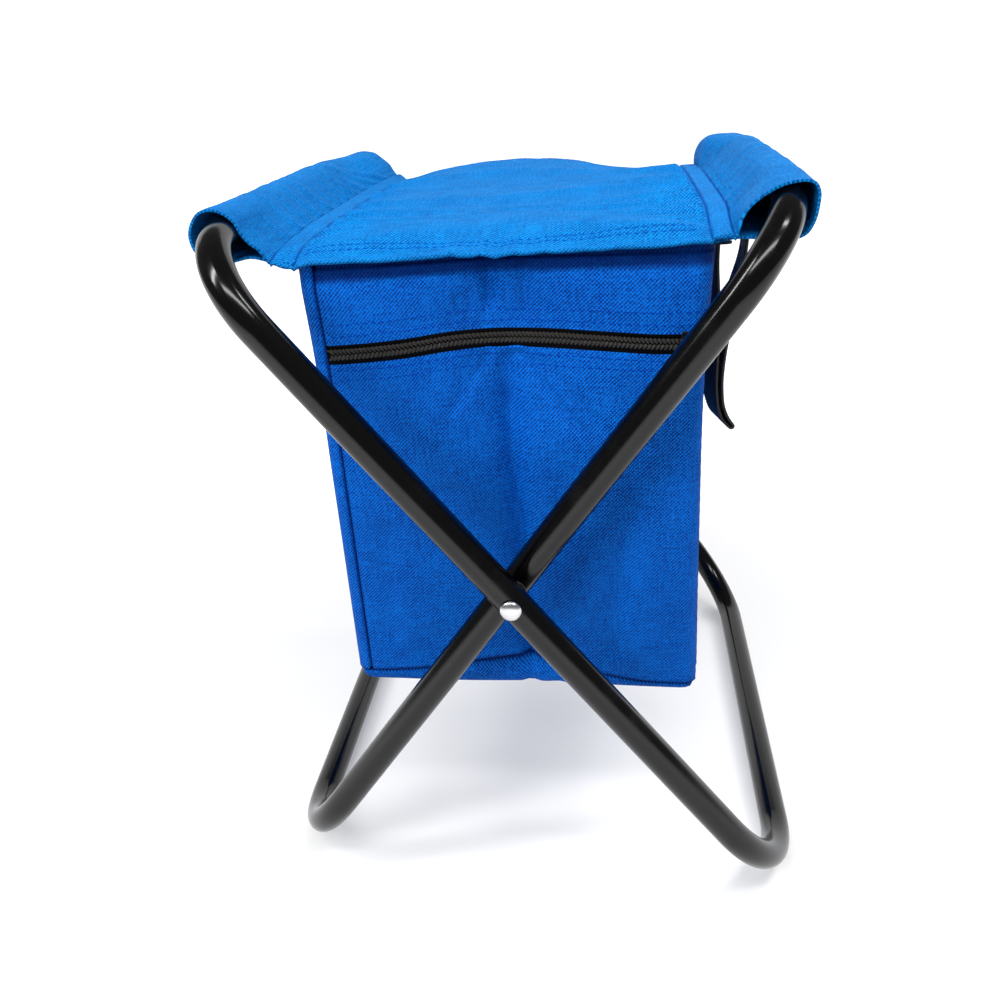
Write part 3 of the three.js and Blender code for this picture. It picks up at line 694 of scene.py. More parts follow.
sleeves = {
    "cloth": 1.2, "creaseGain": 1.5, "onBand": 7,
    "middle": [(21.7, -6.4), (17.2, -3.3), (12.8, 0.7), (9.0, 5.2), (4.6, 9.3), (-1.5, 11.8), (-7.6, 11.2),
               (-12.7, 6.9), (-15.3, 0.3), (-14.4, -6.6), (-9.6, -11.9), (-2.5, -13.9), (5, -13.0),
               (12, -10.9), (21.7, -9.2), (31.5, -9.2)],
    "leftFront": [(21.7, -10.6), (18.6, -7.2), (13.6, -3.6), (9.9, 1.0), (7.6, 6.4), (2.6, 10.6),
                  (-3.4, 12.3), (-8.8, 11.3), (-13.4, 7.2), (-16.6, 0.8), (-16.0, -6.0), (-12, -11.2),
                  (-5, -13.4), (3, -12.4), (11, -11.0), (21.7, -13.2), (31.5, -14.4)],
    "rightFront": [(21.7, -10.0), (19.8, -5.0), (17.2, -0.2), (13.6, 3.8), (9.6, 6.6), (4.4, 8.9),
                   (-1, 10.0), (-6.0, 10.2), (-10.0, 8.6), (-12.0, 4.6), (-12.0, -1), (-10.8, -8),
                   (-8.0, -13.2), (-2, -15.8), (5, -15.6), (21.7, -13.4), (31.5, -14.2)],
    "leftRear": [(21.7, -2.6), (19, 0.6), (16.6, 4.2), (14.6, 7.2), (12.6, 10.0), (9.5, 11.3), (5, 11.3),
                 (0.5, 10.4), (-4.5, 8.6), (-9.6, 4.6), (-11.4, -1), (-10.4, -7), (-6, -11.6),
                 (0.5, -13.4), (8, -12.4), (21.7, -7.4), (31.5, -10.6)],
    "rightRear": [(21.7, -9.6), (22.4, -5.0), (21.6, 0.2), (19, 5.4), (15, 8.6), (10, 9.8), (3.5, 9.9),
                  (-3, 9.7), (-9, 7.4), (-12.4, 2), (-13, -4), (-11, -10), (-6, -14), (1, -15.2),
                  (9, -13.6), (21.7, -12.4), (31.5, -13.6)],
    # Creases: place on the stitch line, slope, height, reach, width
    "leftCreases": [
        (-90, 0.0, 0.9, 12, 4.0), (-70, -0.1, 1.1, 16, 4.0), (-52, -0.2, 1.0, 16, 3.6),
        (-32, -0.3, 1.3, 22, 4.0), (-12, -0.35, 1.3, 22, 4.0), (8, -0.5, 1.2, 18, 3.6),
        (26, -0.6, 1.2, 22, 3.6), (44, -0.7, 1.3, 22, 4.0), (62, -0.9, 1.1, 16, 3.8),
        (84, -1.4, 1.2, 20, 4.2), (104, -2.1, 1.1, 18, 4.6)],
    "rightCreases": [
        (-92, -0.5, 0.9, 14, 4.0), (-76, -0.2, 1.0, 16, 4.0), (-60, 0.3, 1.2, 20, 4.0),
        (-40, 0.3, 1.1, 18, 3.6), (-20, 0.2, 1.2, 20, 3.8), (0, 0.35, 1.3, 22, 3.6),
        (18, 0.9, 1.2, 18, 4.0), (38, 1.6, 1.1, 16, 4.4), (62, 1.0, 1.0, 16, 4.0), (86, 0.4, 0.8, 12, 4.0)],
}


def section(word, share):
    points = np.array(sleeves[word], float)
    return through(lengths(points) / lengths(points)[-1], points, share)


def makeSleeve(word, side, front, back, body):
    # Sections blended along the bar, then pressed in and out by slanting creases that are
    # strongest at the stitch line
    share, along = grid(np.concatenate([np.linspace(0, 0.03, 8), np.linspace(0.04, 1, 92)]),
                        np.linspace(0, 1, 160))
    places = [0, 0.15, 0.35, 0.6, 0.85, 1]
    lipFront = through(places, [-125.6, front - 1, front, front + 2.5, front + 1, -124.5], share)
    lipBack = through(places, [125.6, back + 1, back, back - 2, back - 1, 124.5], share)
    y = lipFront + (lipBack - lipFront) * along
    middle = section("middle", share)
    flat = middle + (section(f"{word}Front", share) - middle) * smooth((-y - 62) / 62)[..., None]
    flat = flat + (section(f"{word}Rear", share) - middle) * smooth((y - 62) / (back - 66))[..., None]
    arc = share * lengths(np.array(sleeves["middle"]))[-1]
    # The first stretch stays on the band, whose height comes from the seat
    onBand = smooth((sleeves["onBand"] - arc) / sleeves["onBand"]) * smooth(24 - flat[..., 0])
    x = side * (barX - flat[..., 0])
    height = flat[..., 1] + onBand * (seatHeight(x, y) - barZ - flat[..., 1])
    points = joined(x + cornerShift(x, y), y, barZ + height)
    normal = unit(np.cross(np.gradient(points, axis=0), np.gradient(points, axis=1))) * side
    press = waves(arc, y, (19, 27, 36, 51), 0.2) * smooth(arc / 8) * smooth((80 - arc) / 10)
    for start, slope, rise, reach, width in sleeves[f"{word}Creases"]:
        crease = rise * hump(y, start + slope * arc, width) * smooth(arc / 3) * np.exp(-arc / reach)
        press = press + sleeves["creaseGain"] * crease
    points = points + normal * press[..., None]
    uv = joined(side * (seat["outer"] + arc), y)
    # The sleeve's edge along the stitch line is darkened as painted shade
    grooveAndShade = 0.9 * smooth((1.9 - arc) / 1.2)
    piece = makeSurface(f"{word}Sleeve", points, uv, awayFrom=(side * barX, 0, barZ), grooveAndShade=grooveAndShade)
    return dress(thicken(piece, sleeves["cloth"]), seatBlue, body, [f"{word}_sleeve"])


leftSleeve = makeSleeve("left", -1, -124, 124, "outer_frame")
rightSleeve = makeSleeve("right", 1, -119, 112, "inner_frame")
print("sleeves done")


# Bag: every part of it is drawn square and then pressed into shape by one warp

bag = {
    "half": 95, "reach": 123, "corner": 9, "cornerSteps": 9, "cloth": 1.2, "floor": 114.8, "rim": 126.0,
    "top": 349.2, "tilt": 0.03, "seamDip": 1.6, "seamWidth": 1.2, "tuck": 1.6, "pocketLow": 304.6,
    "pocketHigh": 314.4, "underSeat": 2.4, "roll": 1.6,
}
# Narrow folds that run down the front wall: middle x at the upper end, slope, upper and lower
# end, depth inwards, width
frontCreases = [
    (-6, -0.03, 358, 319, 3.2, 3.0), (9.5, 0.0, 352, 316, 2.0, 2.6), (-15, -0.1, 338, 316, 1.0, 2.2),
    (-21, -0.1, 336, 316, 0.9, 2.2), (-5, -0.75, 308, 268, 1.2, 3.2), (2, 0.8, 306, 258, 2.0, 3.6),
    (14, 0.9, 302, 250, 1.2, 4.5), (-16, -0.5, 305, 276, 0.9, 3.0), (-1, 0.02, 304, 122, 2.4, 5.0),
    (1.5, 0.0, 160, 96, 2.6, 2.6), (9, 0.3, 140, 100, 1.2, 3.0),
    (30, -0.3, 230, 150, 2.2, 9.0), (-38, 0.3, 240, 165, 1.6, 8.0), (64, -0.12, 262, 130, 2.6, 8.0),
    (-66, -0.1, 220, 135, 1.2, 7.0), (48, 0.25, 352, 322, 0.8, 7.0), (-50, -0.2, 352, 322, 0.8, 7.0),
]


def creaseDepth(x, z):
    # How far the front and back walls fold inwards along their middle crease: a soft V, which
    # the zip's stiff tapes hold rounder
    depth = through([119, 131, 170, 230, 300, 330, 352], [1.5, 5, 9, 12, 10, 7, 4], z)
    blunt = through([119, 200, 285, 309, 335, 352], [2, 1.6, 4, 14, 6, 4], z)
    width = through([119, 285, 309, 352], [21, 21, 30, 27], z)
    middle = through([119, 200, 304, 352], [2.0, 0, -4, -5], z)
    far = np.sqrt((x - middle) ** 2 + blunt ** 2)
    return depth * np.exp(-(far - blunt) / width) * within(x, bag["half"], 6)


def narrowFolds(x, z):
    depth = np.zeros_like(x)
    for middle, slope, high, low, height, width in frontCreases:
        line = middle + slope * (high - z)
        depth += height * hump(x, line, width) * smooth((high - z) / 5) * smooth((z - low) / 12)
    return depth


# The waves of the bag start from this draw
bagDraw = random.bit_generator.state


def unevenBag(x, z):
    return waves(x, z, (38, 52, 71, 95), 0.7, bagDraw) * within(x, 88, 4)


def bagWarp(points):
    # Front and back walls are folded inwards at the middle, the side walls lean, the floor
    # tilts, the pocket's zip bows upwards, and the front's upper end tucks in under the hem
    x, y, z = np.moveaxis(points, -1, 0)
    front, back = smooth((-y - 40) / 60), smooth((y - 40) / 60)
    fold = creaseDepth(x, z)
    inwards = (fold + narrowFolds(x, z) + bag["tuck"] * hump(z, 348, 6)) * front - 0.55 * fold * back
    ripple = unevenBag(x, z) * front + 0.7 * unevenBag(z, x) * back
    lean = through([119, 200, 310, 350], [-2.4, -2.8, -1.4, 1.2], z) * np.clip(x / bag["half"], 0, 1)
    lean = lean - through([119, 236, 310, 350], [1.8, 0.6, 0.2, 1.6], z) * np.clip(-x / bag["half"], 0, 1)
    drop = bag["tilt"] * x * smooth((250 - z) / 130)
    rise = through([-95, -84, -50, -26, -5, 25, 42, 78, 95],
                   [-1.6, -1.6, -0.3, 1.8, 1.9, 1.6, 0.4, -2.2, -1.8], x)
    return joined(x + lean, y + inwards + ripple, z - drop + rise * hump(z, 309.5, 30) * front)


def roundedLine(low, high, radius):
    # A rectangle with round corners, from the front left corner round by the right
    turn = np.linspace(0, np.pi / 2, bag["cornerSteps"])
    (left, front), (right, rear) = np.add(low, radius), np.subtract(high, radius)
    line = []
    for x, y, quarter in ((left, front, 2), (right, front, 3), (right, rear, 0), (left, rear, 1)):
        angle = quarter * np.pi / 2 + turn
        line.append(joined(x + radius * np.cos(angle), y + radius * np.sin(angle)))
    return np.concatenate([*line, line[0][:1]])


def alongLine(line, at):
    # Places and outward normals at distances along a closed line
    girth = lengths(line)[-1]
    place, ahead, behind = (onLine(line, np.mod(at + step, girth)) for step in (0, 0.4, -0.4))
    way = unit(ahead - behind)
    return place, joined(way[..., 1], -way[..., 0])


bagLine = roundedLine((-bag["half"], -bag["reach"]), (bag["half"], bag["reach"]), bag["corner"])
bagGirth = lengths(bagLine)[-1]
quarterArc = bag["corner"] * np.pi / 2
# Distances along the line at which the walls are sewn together
frontLeft = quarterArc - 0.5
frontRight = quarterArc * 1.9 + 2 * (bag["half"] - bag["corner"])
rearRight = frontRight + 2 * (bag["reach"] - bag["corner"]) + quarterArc * 0.8
rearLeft = rearRight + 2 * (bag["half"] - bag["corner"]) + quarterArc * 0.6
frontSeams, rightSeams = (frontLeft, frontRight), (frontRight, rearRight)
rearSeams, leftSeams = (rearRight, rearLeft), (rearLeft, bagGirth + frontLeft)


def fromSeams(at, seams):
    return np.minimum(np.abs(at - seams[0]), np.abs(at - seams[1]))


def wallPoint(at, z, seams):
    # A wall follows the rounded line; at its sewn edges it dips into the seam and puckers
    place, normal = alongLine(bagLine, at)
    edge = fromSeams(at, seams)
    dip = -bag["seamDip"] * np.exp(-edge / bag["seamWidth"])
    dip = dip + 0.14 * np.sin(z * 0.9 + at) * np.exp(-edge / 4) * smooth(edge / 2)
    place = place + normal * dip[..., None]
    return bagWarp(joined(place[..., 0], place[..., 1], z))


def frontSeamZ(x):
    # The front's bottom seam rises to its middle
    return through([-95, -88, -58, -26, -4, 10, 44, 62, 95],
                   [122, 122.5, 125, 130.5, 132.5, 131.5, 124, 121, 120], x)


def rearTop(x, y):
    under = seatHeight(np.clip(x, -92, 92), np.full_like(x, 122))
    return np.minimum(under - bag["underSeat"], 363)


def sideTop(x, y):
    return bandHeight(y) + cornerLift(1.1 * x, y) - 4.2 - smooth((-y - 96) / 8)


def sideLow(x):
    return bag["rim"] - 4 * smooth((-x - 84) / 5)


def makeWall(name, node, body, seams, low, high, rows=120, roll=0):
    # at runs along the bag's line and z from the low edge to the high edge, which may be
    # functions of the place; a roll carries the upper edge inwards over the zip's tape
    near = np.array([0, 0.4, 0.8, 1.3, 1.9, 2.7])
    columns = np.linspace(seams[0] + 3.6, seams[1] - 3.6, int((seams[1] - seams[0]) / 1.3))
    at, share = grid(np.concatenate([seams[0] + near, columns, seams[1] - near[::-1]]),
                     np.concatenate([[0, 0.003, 0.006], np.linspace(0.012, 1, rows + 1)]))
    x, y = np.moveaxis(alongLine(bagLine, at)[0], -1, 0)
    bottom = low(x) if callable(low) else low
    top = high(x, y) if callable(high) else high
    z = bottom + (top - bottom) * share
    points, uv = wallPoint(at, z, seams), joined(at, z)
    # The wall's sewn edges, and its bottom seam where the low edge follows one, are darkened as painted
    # shade
    grooveAndShade = np.exp(-fromSeams(at, seams) / 0.7) + (hump(z, bottom, 1.0) if callable(low) else 0)
    if roll:
        # The top of the rolled wall, under the seat's hem, is darkened as a painted shadow of the hem
        grooveAndShade = grooveAndShade + 0.8 * smooth((z - top + 5.5) / 2.5)
        angle = np.linspace(0, np.pi / 2, 6)[1:]
        reach = np.concatenate([roll * np.sin(angle), roll + np.array([1.5, 3.0, 4.2])])
        rise = np.concatenate([roll * (1 - np.cos(angle)), np.full(3, roll)])
        points = np.concatenate([points, points[:, -1:] + joined(0, rise, reach)], axis=1)
        more = joined(at[:, -1:], z[:, -1:] + np.arange(1, len(reach) + 1))
        uv = np.concatenate([uv, more], axis=1)
        grooveAndShade = np.pad(grooveAndShade, ((0, 0), (0, len(reach))), mode="edge")
    piece = makeSurface(name, points, uv, awayFrom=(0, 0, 235), grooveAndShade=grooveAndShade)
    return dress(thicken(piece, bag["cloth"]), bagBlue, body, [node])


upperFront = makeWall("upperFront", "front_upper_panel", "bag", frontSeams, bag["pocketHigh"],
                      bag["top"] - 1.8, rows=24, roll=bag["roll"])
pocketFront = makeWall("pocketFront", "pocket_front_panel", "bag", frontSeams, frontSeamZ, bag["pocketLow"])
backWall = makeWall("backWall", "bag_back_panel", "bag", rearSeams, bag["rim"], rearTop)
rightGusset = makeWall("rightGusset", "right_gusset", "bag_right_side", rightSeams, sideLow, sideTop)
leftGusset = makeWall("leftGusset", "left_gusset", "bag_left_side", leftSeams, sideLow, sideTop)
print("bag walls done")


def makeBottom():
    # A shallow tray: from the seam round the bag it curves under on a quarter ellipse to the
    # floor, then runs nearly level to the middle
    place, normal = alongLine(bagLine, np.linspace(0, bagGirth, 240, endpoint=False))
    rim = np.where(normal[:, 1] < -0.5, frontSeamZ(place[:, 0]), bag["rim"]) - 0.6
    floor, inset, lip = bag["floor"], 4, 0.5
    angle = np.linspace(0, np.pi / 2, 14)
    rings = []
    for a in angle:
        spot = place - normal * (lip + inset * (1 - np.cos(a)) + np.exp(-a / 0.12))
        rings.append(joined(*spot.T, floor + (rim - floor) * (1 - np.sin(a))))
    for shrink in (0.93, 0.85, 0.7, 0.5, 0.25, 0):
        spot = (place - normal * (lip + inset)) * shrink
        rings.append(joined(*spot.T, floor - 1.2 * (1 - shrink)))
    points = np.stack(rings)
    # The cloth's own pattern is spread out where the rim stands up
    flat = points[..., :2].copy()
    flat[: len(angle)] += normal * (0.7 * (points[: len(angle), :, 2:] - floor))
    uv = np.concatenate([flat, flat[:, :1]], axis=1)
    # The rim where the bottom meets the walls is darkened as painted shade, most at the seam
    grooveAndShade = np.zeros(points.shape[:2])
    grooveAndShade[: len(angle)] = np.exp(-angle / 0.1)[:, None]
    piece = makeSurface(
        "bagBottom", bagWarp(points), uv, closed=(False, True), awayFrom=(0, 0, 400), grooveAndShade=grooveAndShade)
    thicken(mergePoles(piece), bag["cloth"])
    return dress(piece, bagBlue, "bag", ["bag_bottom_panel"])


def boxMm(node):
    low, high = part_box(node)
    return np.array(low) * metre, np.array(high) * metre


def makeCup(name, node, wall, radius, finish):
    # An open box with round corners as one closed skin: middle of the floor, outer wall, rim,
    # inner wall, and the inner floor's middle
    low, high = boxMm(node)
    outer = roundedLine(low[:2], high[:2], radius)
    inner = roundedLine(low[:2] + wall, high[:2] - wall, max(radius - wall, 2))
    out, into = (onLine(line, np.linspace(0, lengths(line)[-1], 200, endpoint=False))
                 for line in (outer, inner))
    middle = (low[:2] + high[:2]) / 2
    shares = (0, 0.4, 0.75, 0.97)
    rows = [(middle + (out - middle) * share, low[2]) for share in shares]
    rows += [(out, z) for z in np.linspace(low[2] + 2, high[2] - 0.6, 60)]
    rows += [(into, z) for z in np.linspace(high[2], low[2] + wall + 2, 60)]
    rows += [(middle + (into - middle) * share, low[2] + wall) for share in shares[::-1]]
    points = np.stack([joined(*spot.T, z) for spot, z in rows])
    piece = mergePoles(makeSurface(name, bagWarp(points), closed=(False, True)))
    return dress(piece, finish, "bag", [node])


def makeStrip(name, node, across, finish, slot, thickness, low=(), high=()):
    # A flat strip along X that fills its node's box in the given direction, then warped; low
    # and high give other ends for some of the box's directions
    ends = boxMm(node)
    for end, changes in zip(ends, (low, high)):
        for axis, value in changes:
            end[axis] = value
    low, high = ends
    level = across == 1
    x, share = grid(np.linspace(low[0], high[0], 120), np.linspace(0, 1, 12 if level else 60))
    at = low[across] + (high[across] - low[across]) * share
    points = joined(x, at, high[2]) if level else joined(x, low[1], at)
    piece = makeSurface(name, bagWarp(points), joined(at, x), awayFrom=(0, 0, 0 if level else 200))
    return dress(thicken(piece, thickness, 0), finish, "bag", [node])


def makeTape(name, node, across, **ends):
    return makeStrip(name, node, across, zipTape, "zip_tape", 0.6, **ends)


def makeFacing():
    # The strip from the main zip's rear tape up to the seat, as an L carried along X
    low, high = boxMm("bag_top_facing")
    profile = np.array([[low[1], low[2]], [high[1] - 2, low[2]], [high[1] - 0.6, low[2] + 0.6],
                        [high[1], low[2] + 2], [high[1], high[2]]])
    x, share = grid(np.linspace(low[0], high[0], 120), np.linspace(0, 1, 14))
    line = through(lengths(profile) / lengths(profile)[-1], profile, share[0])
    points = joined(x, line[:, 0], line[:, 1])
    piece = makeSurface("topFacing", bagWarp(points), joined(x, share * 12), awayFrom=(0, 0, 400))
    return dress(thicken(piece, 0.8), bagBlue, "bag", ["bag_top_facing"])


bagBottom = makeBottom()
foam = makeCup("foam", "foam_insulation", 4, 7, whiteFoam)
liner = makeCup("liner", "foil_liner", 0.6, 4, silverFoil)
pocketBack = makeStrip("pocketBack", "pocket_back_panel", 2, bagBlue, "bag_cloth", 1.2)
# The pocket's tapes meet behind the coils, and the main zip's front tape starts inside the roll
tapeStart, tapeY = (0, -87), (1, -120.5)
pocketUpperTape = makeTape("pocketUpperTape", "pocket_zip_upper_tape", 2,
                           low=[tapeStart, tapeY, (2, 309.55)])
pocketLowerTape = makeTape("pocketLowerTape", "pocket_zip_lower_tape", 2,
                           low=[tapeStart, tapeY], high=[(2, 309.45)])
mainFrontTape = makeTape("mainFrontTape", "main_zip_front_tape", 1, low=[(1, -121.0)])
mainRearTape = makeTape("mainRearTape", "main_zip_rear_tape", 1)
topFacing = makeFacing()


# Zip coils: a wire wound in flattened turns along each tape's edge

coils = {"pitch": 2.0, "wire": 0.38, "turnSteps": 16, "sides": 6, "start": -85.5, "spread": 1.28,
         "slant": 1.1, "flatness": 0.92}


def makeCoil(name, node, hand, standing):
    # Turns of the pocket's standing coils reach across each other and slant into chevrons
    low, high = boxMm(node)
    wire = coils["wire"]
    if standing:
        low[0] = coils["start"]
    turns = (high[0] - low[0] - 2 * wire) / coils["pitch"]
    t = np.linspace(0, turns, int(turns * coils["turnSteps"]))
    angle = 2 * np.pi * t * hand
    middle, half = (low + high) / 2, (high - low) / 2 - wire
    # The long way of a turn lies across the zip
    wide, deep = (2, 1) if standing else (1, 2)
    half[wide] *= coils["spread"] if standing else 1
    slant = coils["slant"] * hand * np.cos(angle) if standing else 0
    line = np.zeros((len(t), 3))
    line[:, 0] = low[0] + wire + t * coils["pitch"] - slant
    line[:, wide] = middle[wide] + half[wide] * np.cos(angle)
    line[:, deep] = middle[deep] + half[deep] * np.sin(angle) * coils["flatness"]
    line = bagWarp(line)
    way = unit(np.gradient(line, axis=0))
    side = unit(np.cross(way, [1, 0, 0]))[:, None]
    other = np.cross(way, side[:, 0])[:, None]
    ring = circle(coils["sides"])[:, None]
    tube = line[:, None] + wire * (np.cos(ring) * side + np.sin(ring) * other)
    ends = np.repeat(line[[0, -1], None], coils["sides"], axis=1)
    points = np.concatenate([ends[:1], tube, ends[1:]])
    piece = mergePoles(makeSurface(name, points, closed=(False, True)))
    return dress(piece, zipCoil, "bag", [node])


zipCoils = [
    makeCoil("pocketUpperCoil", "pocket_zip_upper_coil", 1, True),
    makeCoil("pocketLowerCoil", "pocket_zip_lower_coil", -1, True),
    makeCoil("mainFrontCoil", "main_zip_front_coil", 1, False),
    makeCoil("mainRearCoil", "main_zip_rear_coil", -1, False),
]


def makeRounded(name, node, width):
    # A slider or pull: a merged copy of the solid's triangles, its flat faces joined again and
    # its edges rounded
    mesh = bpy.data.meshes.new(name)
    merge(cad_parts[node].data, mesh, math.radians(2))
    mesh.shade_smooth()
    mesh.set_sharp_from_angle(angle=math.radians(35))
    piece = addObject(name, mesh)
    bevel(piece, width, 3, 30).harden_normals = True
    dress(piece, zipMetal, node, [node])


for word in ("pocket", "main"):
    for part in ("slider", "pull"):
        makeRounded(f"{word}{part.title()}", f"{word}_zip_{part}", 0.25)
print("zips done")


# Carry strap: webbing folded into a loop that hangs from the right band

strap = {
    "width": 20, "thickness": 1.4, "turn": math.radians(14), "turnTop": 340, "turnReach": 40,
    "middle": [(107.2, 351.4), (106.6, 340), (104.6, 322), (102.4, 304), (101.0, 288), (100.6, 272),
               (102.0, 261), (104.6, 254.8), (107.2, 251.6)],
    "apart": [6.6, 6.4, 4.6, 2.7, 1.7, 1.4, 1.4, 1.4, 1.1],
}


def makeStrap():
    # Two layers lie on either side of a middle line, and a half circle joins them at its lower
    # end. Below the band the loop turns about the vertical, its near edge outwards
    low, high = boxMm("carry_strap")
    share = np.linspace(0, 1, 70)
    at = lengths(strap["middle"]) / lengths(strap["middle"])[-1]
    middle = through(at, strap["middle"], share)
    apart = through(at, strap["apart"], share)[:, None]
    way = unit(np.gradient(middle, axis=0))
    outward = joined(-way[:, 1], way[:, 0])
    angle = np.linspace(0, np.pi, 18)[1:-1, None]
    fold = middle[-1] + apart[-1] * (np.sin(angle) * way[-1] - np.cos(angle) * outward[-1])
    line = np.concatenate([middle - outward * apart, fold, (middle + outward * apart)[::-1]])
    i, s = grid(np.arange(len(line)), np.linspace(-0.5, 0.5, 13) * strap["width"])
    turn = strap["turn"] * smooth((strap["turnTop"] - line[i, 1]) / strap["turnReach"])
    y = (low[1] + high[1]) / 2 + s * np.cos(turn)
    points = joined(line[i, 0] - s * np.sin(turn), y, line[i, 1])
    inside = ((low[0] + high[0]) / 2, 0, 300)
    piece = makeSurface("carryStrap", points, joined(s, lengths(line)[i]), awayFrom=inside)
    thicken(piece, strap["thickness"], 0.25, 0)
    dress(piece, webbingBlack, "carry_strap", ["carry_strap"])


makeStrap()
print("strap done")


# Stitches: short crowned threads laid along a seam

stitch = {"length": 2.9, "gap": 1.1, "radius": 0.28, "rings": 7, "sides": 6}


def stitchRow(line, normal):
    # Centres, ways and normals of the stitches that fit along a line
    pitch = stitch["length"] + stitch["gap"]
    at = np.arange(pitch / 2, lengths(line)[-1] - pitch / 2, pitch)
    centre = onLine(line, at)
    way = unit(onLine(line, at + 0.5) - centre)
    return np.stack([centre, way, unit(onLine(line, at, normal))], 1)


def makeStitches(name, rows, finish):
    # One capsule shape, placed at each stitch on its own three directions
    centre, way, up = np.moveaxis(np.concatenate(rows), 1, 0)[:, :, None]
    side = np.cross(way, up)
    rings, sides = stitch["rings"], stitch["sides"]
    s, angle = np.linspace(-1, 1, rings)[:, None], circle(sides)
    radius = stitch["radius"] * np.sqrt(np.clip(1 - s ** 4, 0, 1))
    height = radius * np.sin(angle) * 0.8 + 0.1 - 0.25 * s ** 2
    shape = joined(s * stitch["length"] / 2, radius * np.cos(angle), height).reshape(-1, 3)
    points = centre + shape[:, :1] * way + shape[:, 1:2] * side + shape[:, 2:] * up
    i, j = grid(np.arange(rings - 1), np.arange(sides))
    after = (j + 1) % sides
    faces = joined(i * sides + j, (i + 1) * sides + j, (i + 1) * sides + after, i * sides + after)
    first = np.arange(len(centre))[:, None, None] * rings * sides
    faces = (faces.reshape(1, -1, 4) + first).reshape(-1, 4)
    return dress(mergePoles(makeMesh(name, points, faces)), finish)


def seatRow(x, y):
    # The normal comes from the seat's height on either side of the point
    step = 0.5
    slopeX = (seatHeight(x - step, y) - seatHeight(x + step, y)) / (2 * step)
    slopeY = (seatHeight(x, y - step) - seatHeight(x, y + step)) / (2 * step)
    return stitchRow(seatPoint(x, y), joined(slopeX, slopeY, 1))


def wallRow(at, z, seams):
    _, normal = alongLine(bagLine, at)
    return stitchRow(wallPoint(at, z, seams), joined(*normal.T, 0))


def levelRow(z, seams):
    at = np.linspace(seams[0] + 3, seams[1] - 3, 240)
    return wallRow(at, np.full_like(at, z), seams)


def makeSideStitches(side, seams):
    z = np.linspace(130, 345, 240)
    rows = [wallRow(np.full_like(z, at), z, seams) for at in (seams[0] + 0.9, seams[1] - 0.9)]
    piece = makeStitches(f"{side}GussetStitches", rows, bagThread)
    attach(piece, f"bag_{side}_side")


along, across = np.linspace(-121, 121, 300), np.linspace(-92, 92, 240)
rows = [seatRow(np.full_like(along, side * line), along) for side in (-1, 1) for line in seamLines]
rows += [seatRow(across, np.full_like(across, side * row)) for side in (-1, 1) for row in seat["hemRows"]]
seatStitches = makeStitches("seatStitches", rows, seatThread)
acrossSeat(seatStitches)
rows = [levelRow(bag["pocketHigh"] + above, frontSeams) for above in (4, 9.5)]
rows += [levelRow(bag["pocketLow"] - below, frontSeams) for below in (3, 8)]
rows += [levelRow(bag["rim"] + 5, rearSeams)]
bagStitches = makeStitches("bagStitches", rows, bagThread)
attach(bagStitches, "bag")
makeSideStitches("left", leftSeams)
makeSideStitches("right", rightSeams)
print("stitches done")


def foldWithBag(piece):
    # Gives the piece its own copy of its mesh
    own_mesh(piece)


for piece in (upperFront, pocketFront, backWall, bagBottom, pocketBack, pocketUpperTape,
              pocketLowerTape, mainFrontTape, mainRearTape, topFacing, *zipCoils, bagStitches):
    foldWithBag(piece)
foldWithBag(foam)
foldWithBag(liner)

# Floor, backdrop, lights and camera: places in metres

stage = {"steps": 60, "tone": 0.64, "nearGlow": 0.36, "near": 0.2, "far": 0.95}


def makeStage():
    # A floor that curves up into a wall behind; white to the camera and to reflections, and
    # darkened only by the object's shadow
    places = [(-3, 0), (-1, 0), (1.2, 0), (1.9, 0.06), (2.4, 0.4), (2.7, 1.2), (2.8, 2.6)]
    line = through(np.arange(len(places)), places, np.linspace(0, len(places) - 1, stage["steps"]))
    x, i = grid(np.linspace(-4, 4, 9), np.arange(stage["steps"]))
    points = joined(x, line[i, 0], line[i, 1]) * metre
    floor = makeSurface("floor", points, awayFrom=(0, 3000, -1000))
    finish = Finish("paleFloor", "ShaderNodeAddShader")
    path = finish.node("ShaderNodeLightPath")
    rays = (Wire(finish, path.socket.node.outputs[f"Is {ray} Ray"]) for ray in ("Glossy", "Transmission"))
    seen = finish.maths("MINIMUM", sum(rays, path), 1)
    x, y, _ = finish.parts(finish.places())
    far = finish.maths("SQRT", x * x + y * y)
    # Near the object the glow is weaker, so that its shadow shows
    level = stage["nearGlow"] + (1 - stage["nearGlow"]) * finish.ease(far, stage["near"], stage["far"])
    diffuse = finish.node("ShaderNodeBsdfDiffuse", inputs={"Color": colour(1, 1, 1, stage["tone"])})
    glow = finish.node("ShaderNodeEmission", inputs={"Color": colour(1, 1, 1), "Strength": seen * level})
    finish.feed(finish.shader, {0: diffuse, 1: glow})
    floor.data.materials.append(finish.material)


def makeWorld():
    world = bpy.data.worlds.new("studio")
    bpy.context.scene.world = world
    world.use_nodes = True
    background = world.node_tree.nodes["Background"].inputs
    background["Color"].default_value = colour(0.97, 0.98, 1)
    background["Strength"].default_value = 0.14


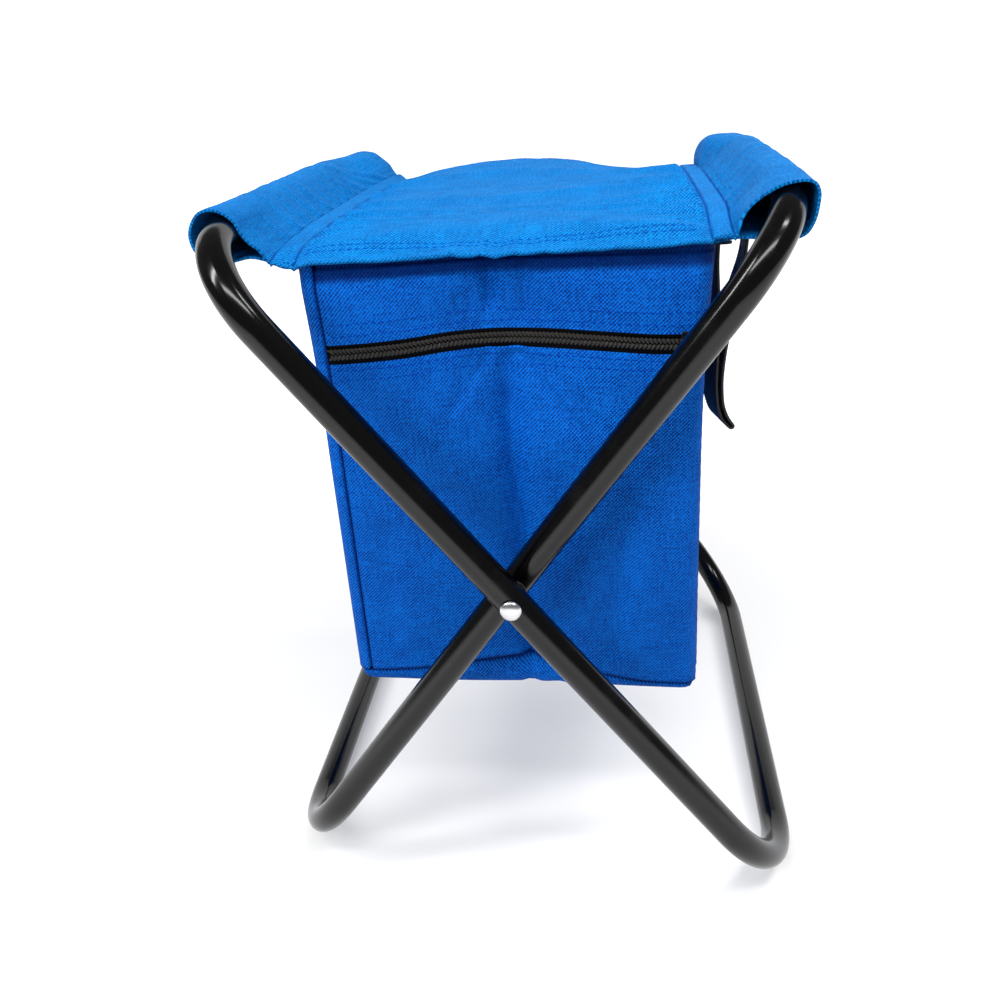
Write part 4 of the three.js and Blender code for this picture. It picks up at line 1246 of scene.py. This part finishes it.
def makeLamp(name, place, target, size, power, mirrored=True):
    # A lamp that isn't mirrored adds light without a highlight
    data = bpy.data.lights.new(name, "AREA")
    data.shape, data.size, data.size_y, data.energy = "RECTANGLE", size[0], size[1], power
    lamp = addObject(name, data)
    lamp.visible_glossy = mirrored
    lamp.location = place
    lamp.rotation_euler = (Vector(target) - Vector(place)).to_track_quat("-Z", "Y").to_euler()


# The photograph's camera, worked out from the tubes' edges in it
view = {"lens": 33.838, "sensor": 36, "place": (0.05061, -0.54658, 0.43489), "turn": (-7.89, -25.59, -4.34)}


def makeCamera():
    # turn is the yaw, pitch and roll in degrees
    data = bpy.data.cameras.new("camera")
    data.lens, data.sensor_width, data.clip_start, data.clip_end = view["lens"], view["sensor"], 0.01, 50
    yaw, pitch, roll = (math.radians(angle) for angle in view["turn"])
    ahead = Vector((math.sin(yaw) * math.cos(pitch), math.cos(yaw) * math.cos(pitch), math.sin(pitch)))
    right = Vector((math.cos(yaw), -math.sin(yaw), 0))
    up = right.cross(ahead)
    turnedRight = right * math.cos(roll) + up * math.sin(roll)
    turnedUp = up * math.cos(roll) - right * math.sin(roll)
    turn = Matrix((turnedRight, turnedUp, -ahead)).transposed()
    camera = addObject("camera", data)
    camera.matrix_world = Matrix.Translation(view["place"]) @ turn.to_4x4()
    bpy.context.scene.camera = camera


makeStage()
makeWorld()
makeLamp("keyStrip", (0.1, -0.72, 1.3), (0, 0, 0.25), (1.1, 0.16), 8.5)
makeLamp("leftStrip", (-0.74, -0.49, 1.19), (0.12, -0.15, 0.35), (0.12, 0.7), 7)
makeLamp("rightStrip", (0.6, -0.17, 1.31), (-0.12, -0.15, 0.35), (0.1, 0.33), 2.5)
makeLamp("sideKey", (-0.75, -1.25, 1.1), (0, 0, 0.25), (0.6, 0.6), 11, False)
makeLamp("topFill", (0.8, 0.1, 1.15), (0, 0, 0.35), (0.4, 0.4), 7, False)
makeLamp("backFill", (0.0, 1.0, 1.2), (0, 0, 0.3), (0.6, 0.3), 6, False)
makeLamp("frontFill", (0.1, -2.0, 0.9), (0, 0, 0.25), (1.6, 1.2), 5, False)
makeCamera()
bpy.context.scene.view_settings.view_transform = "Standard"
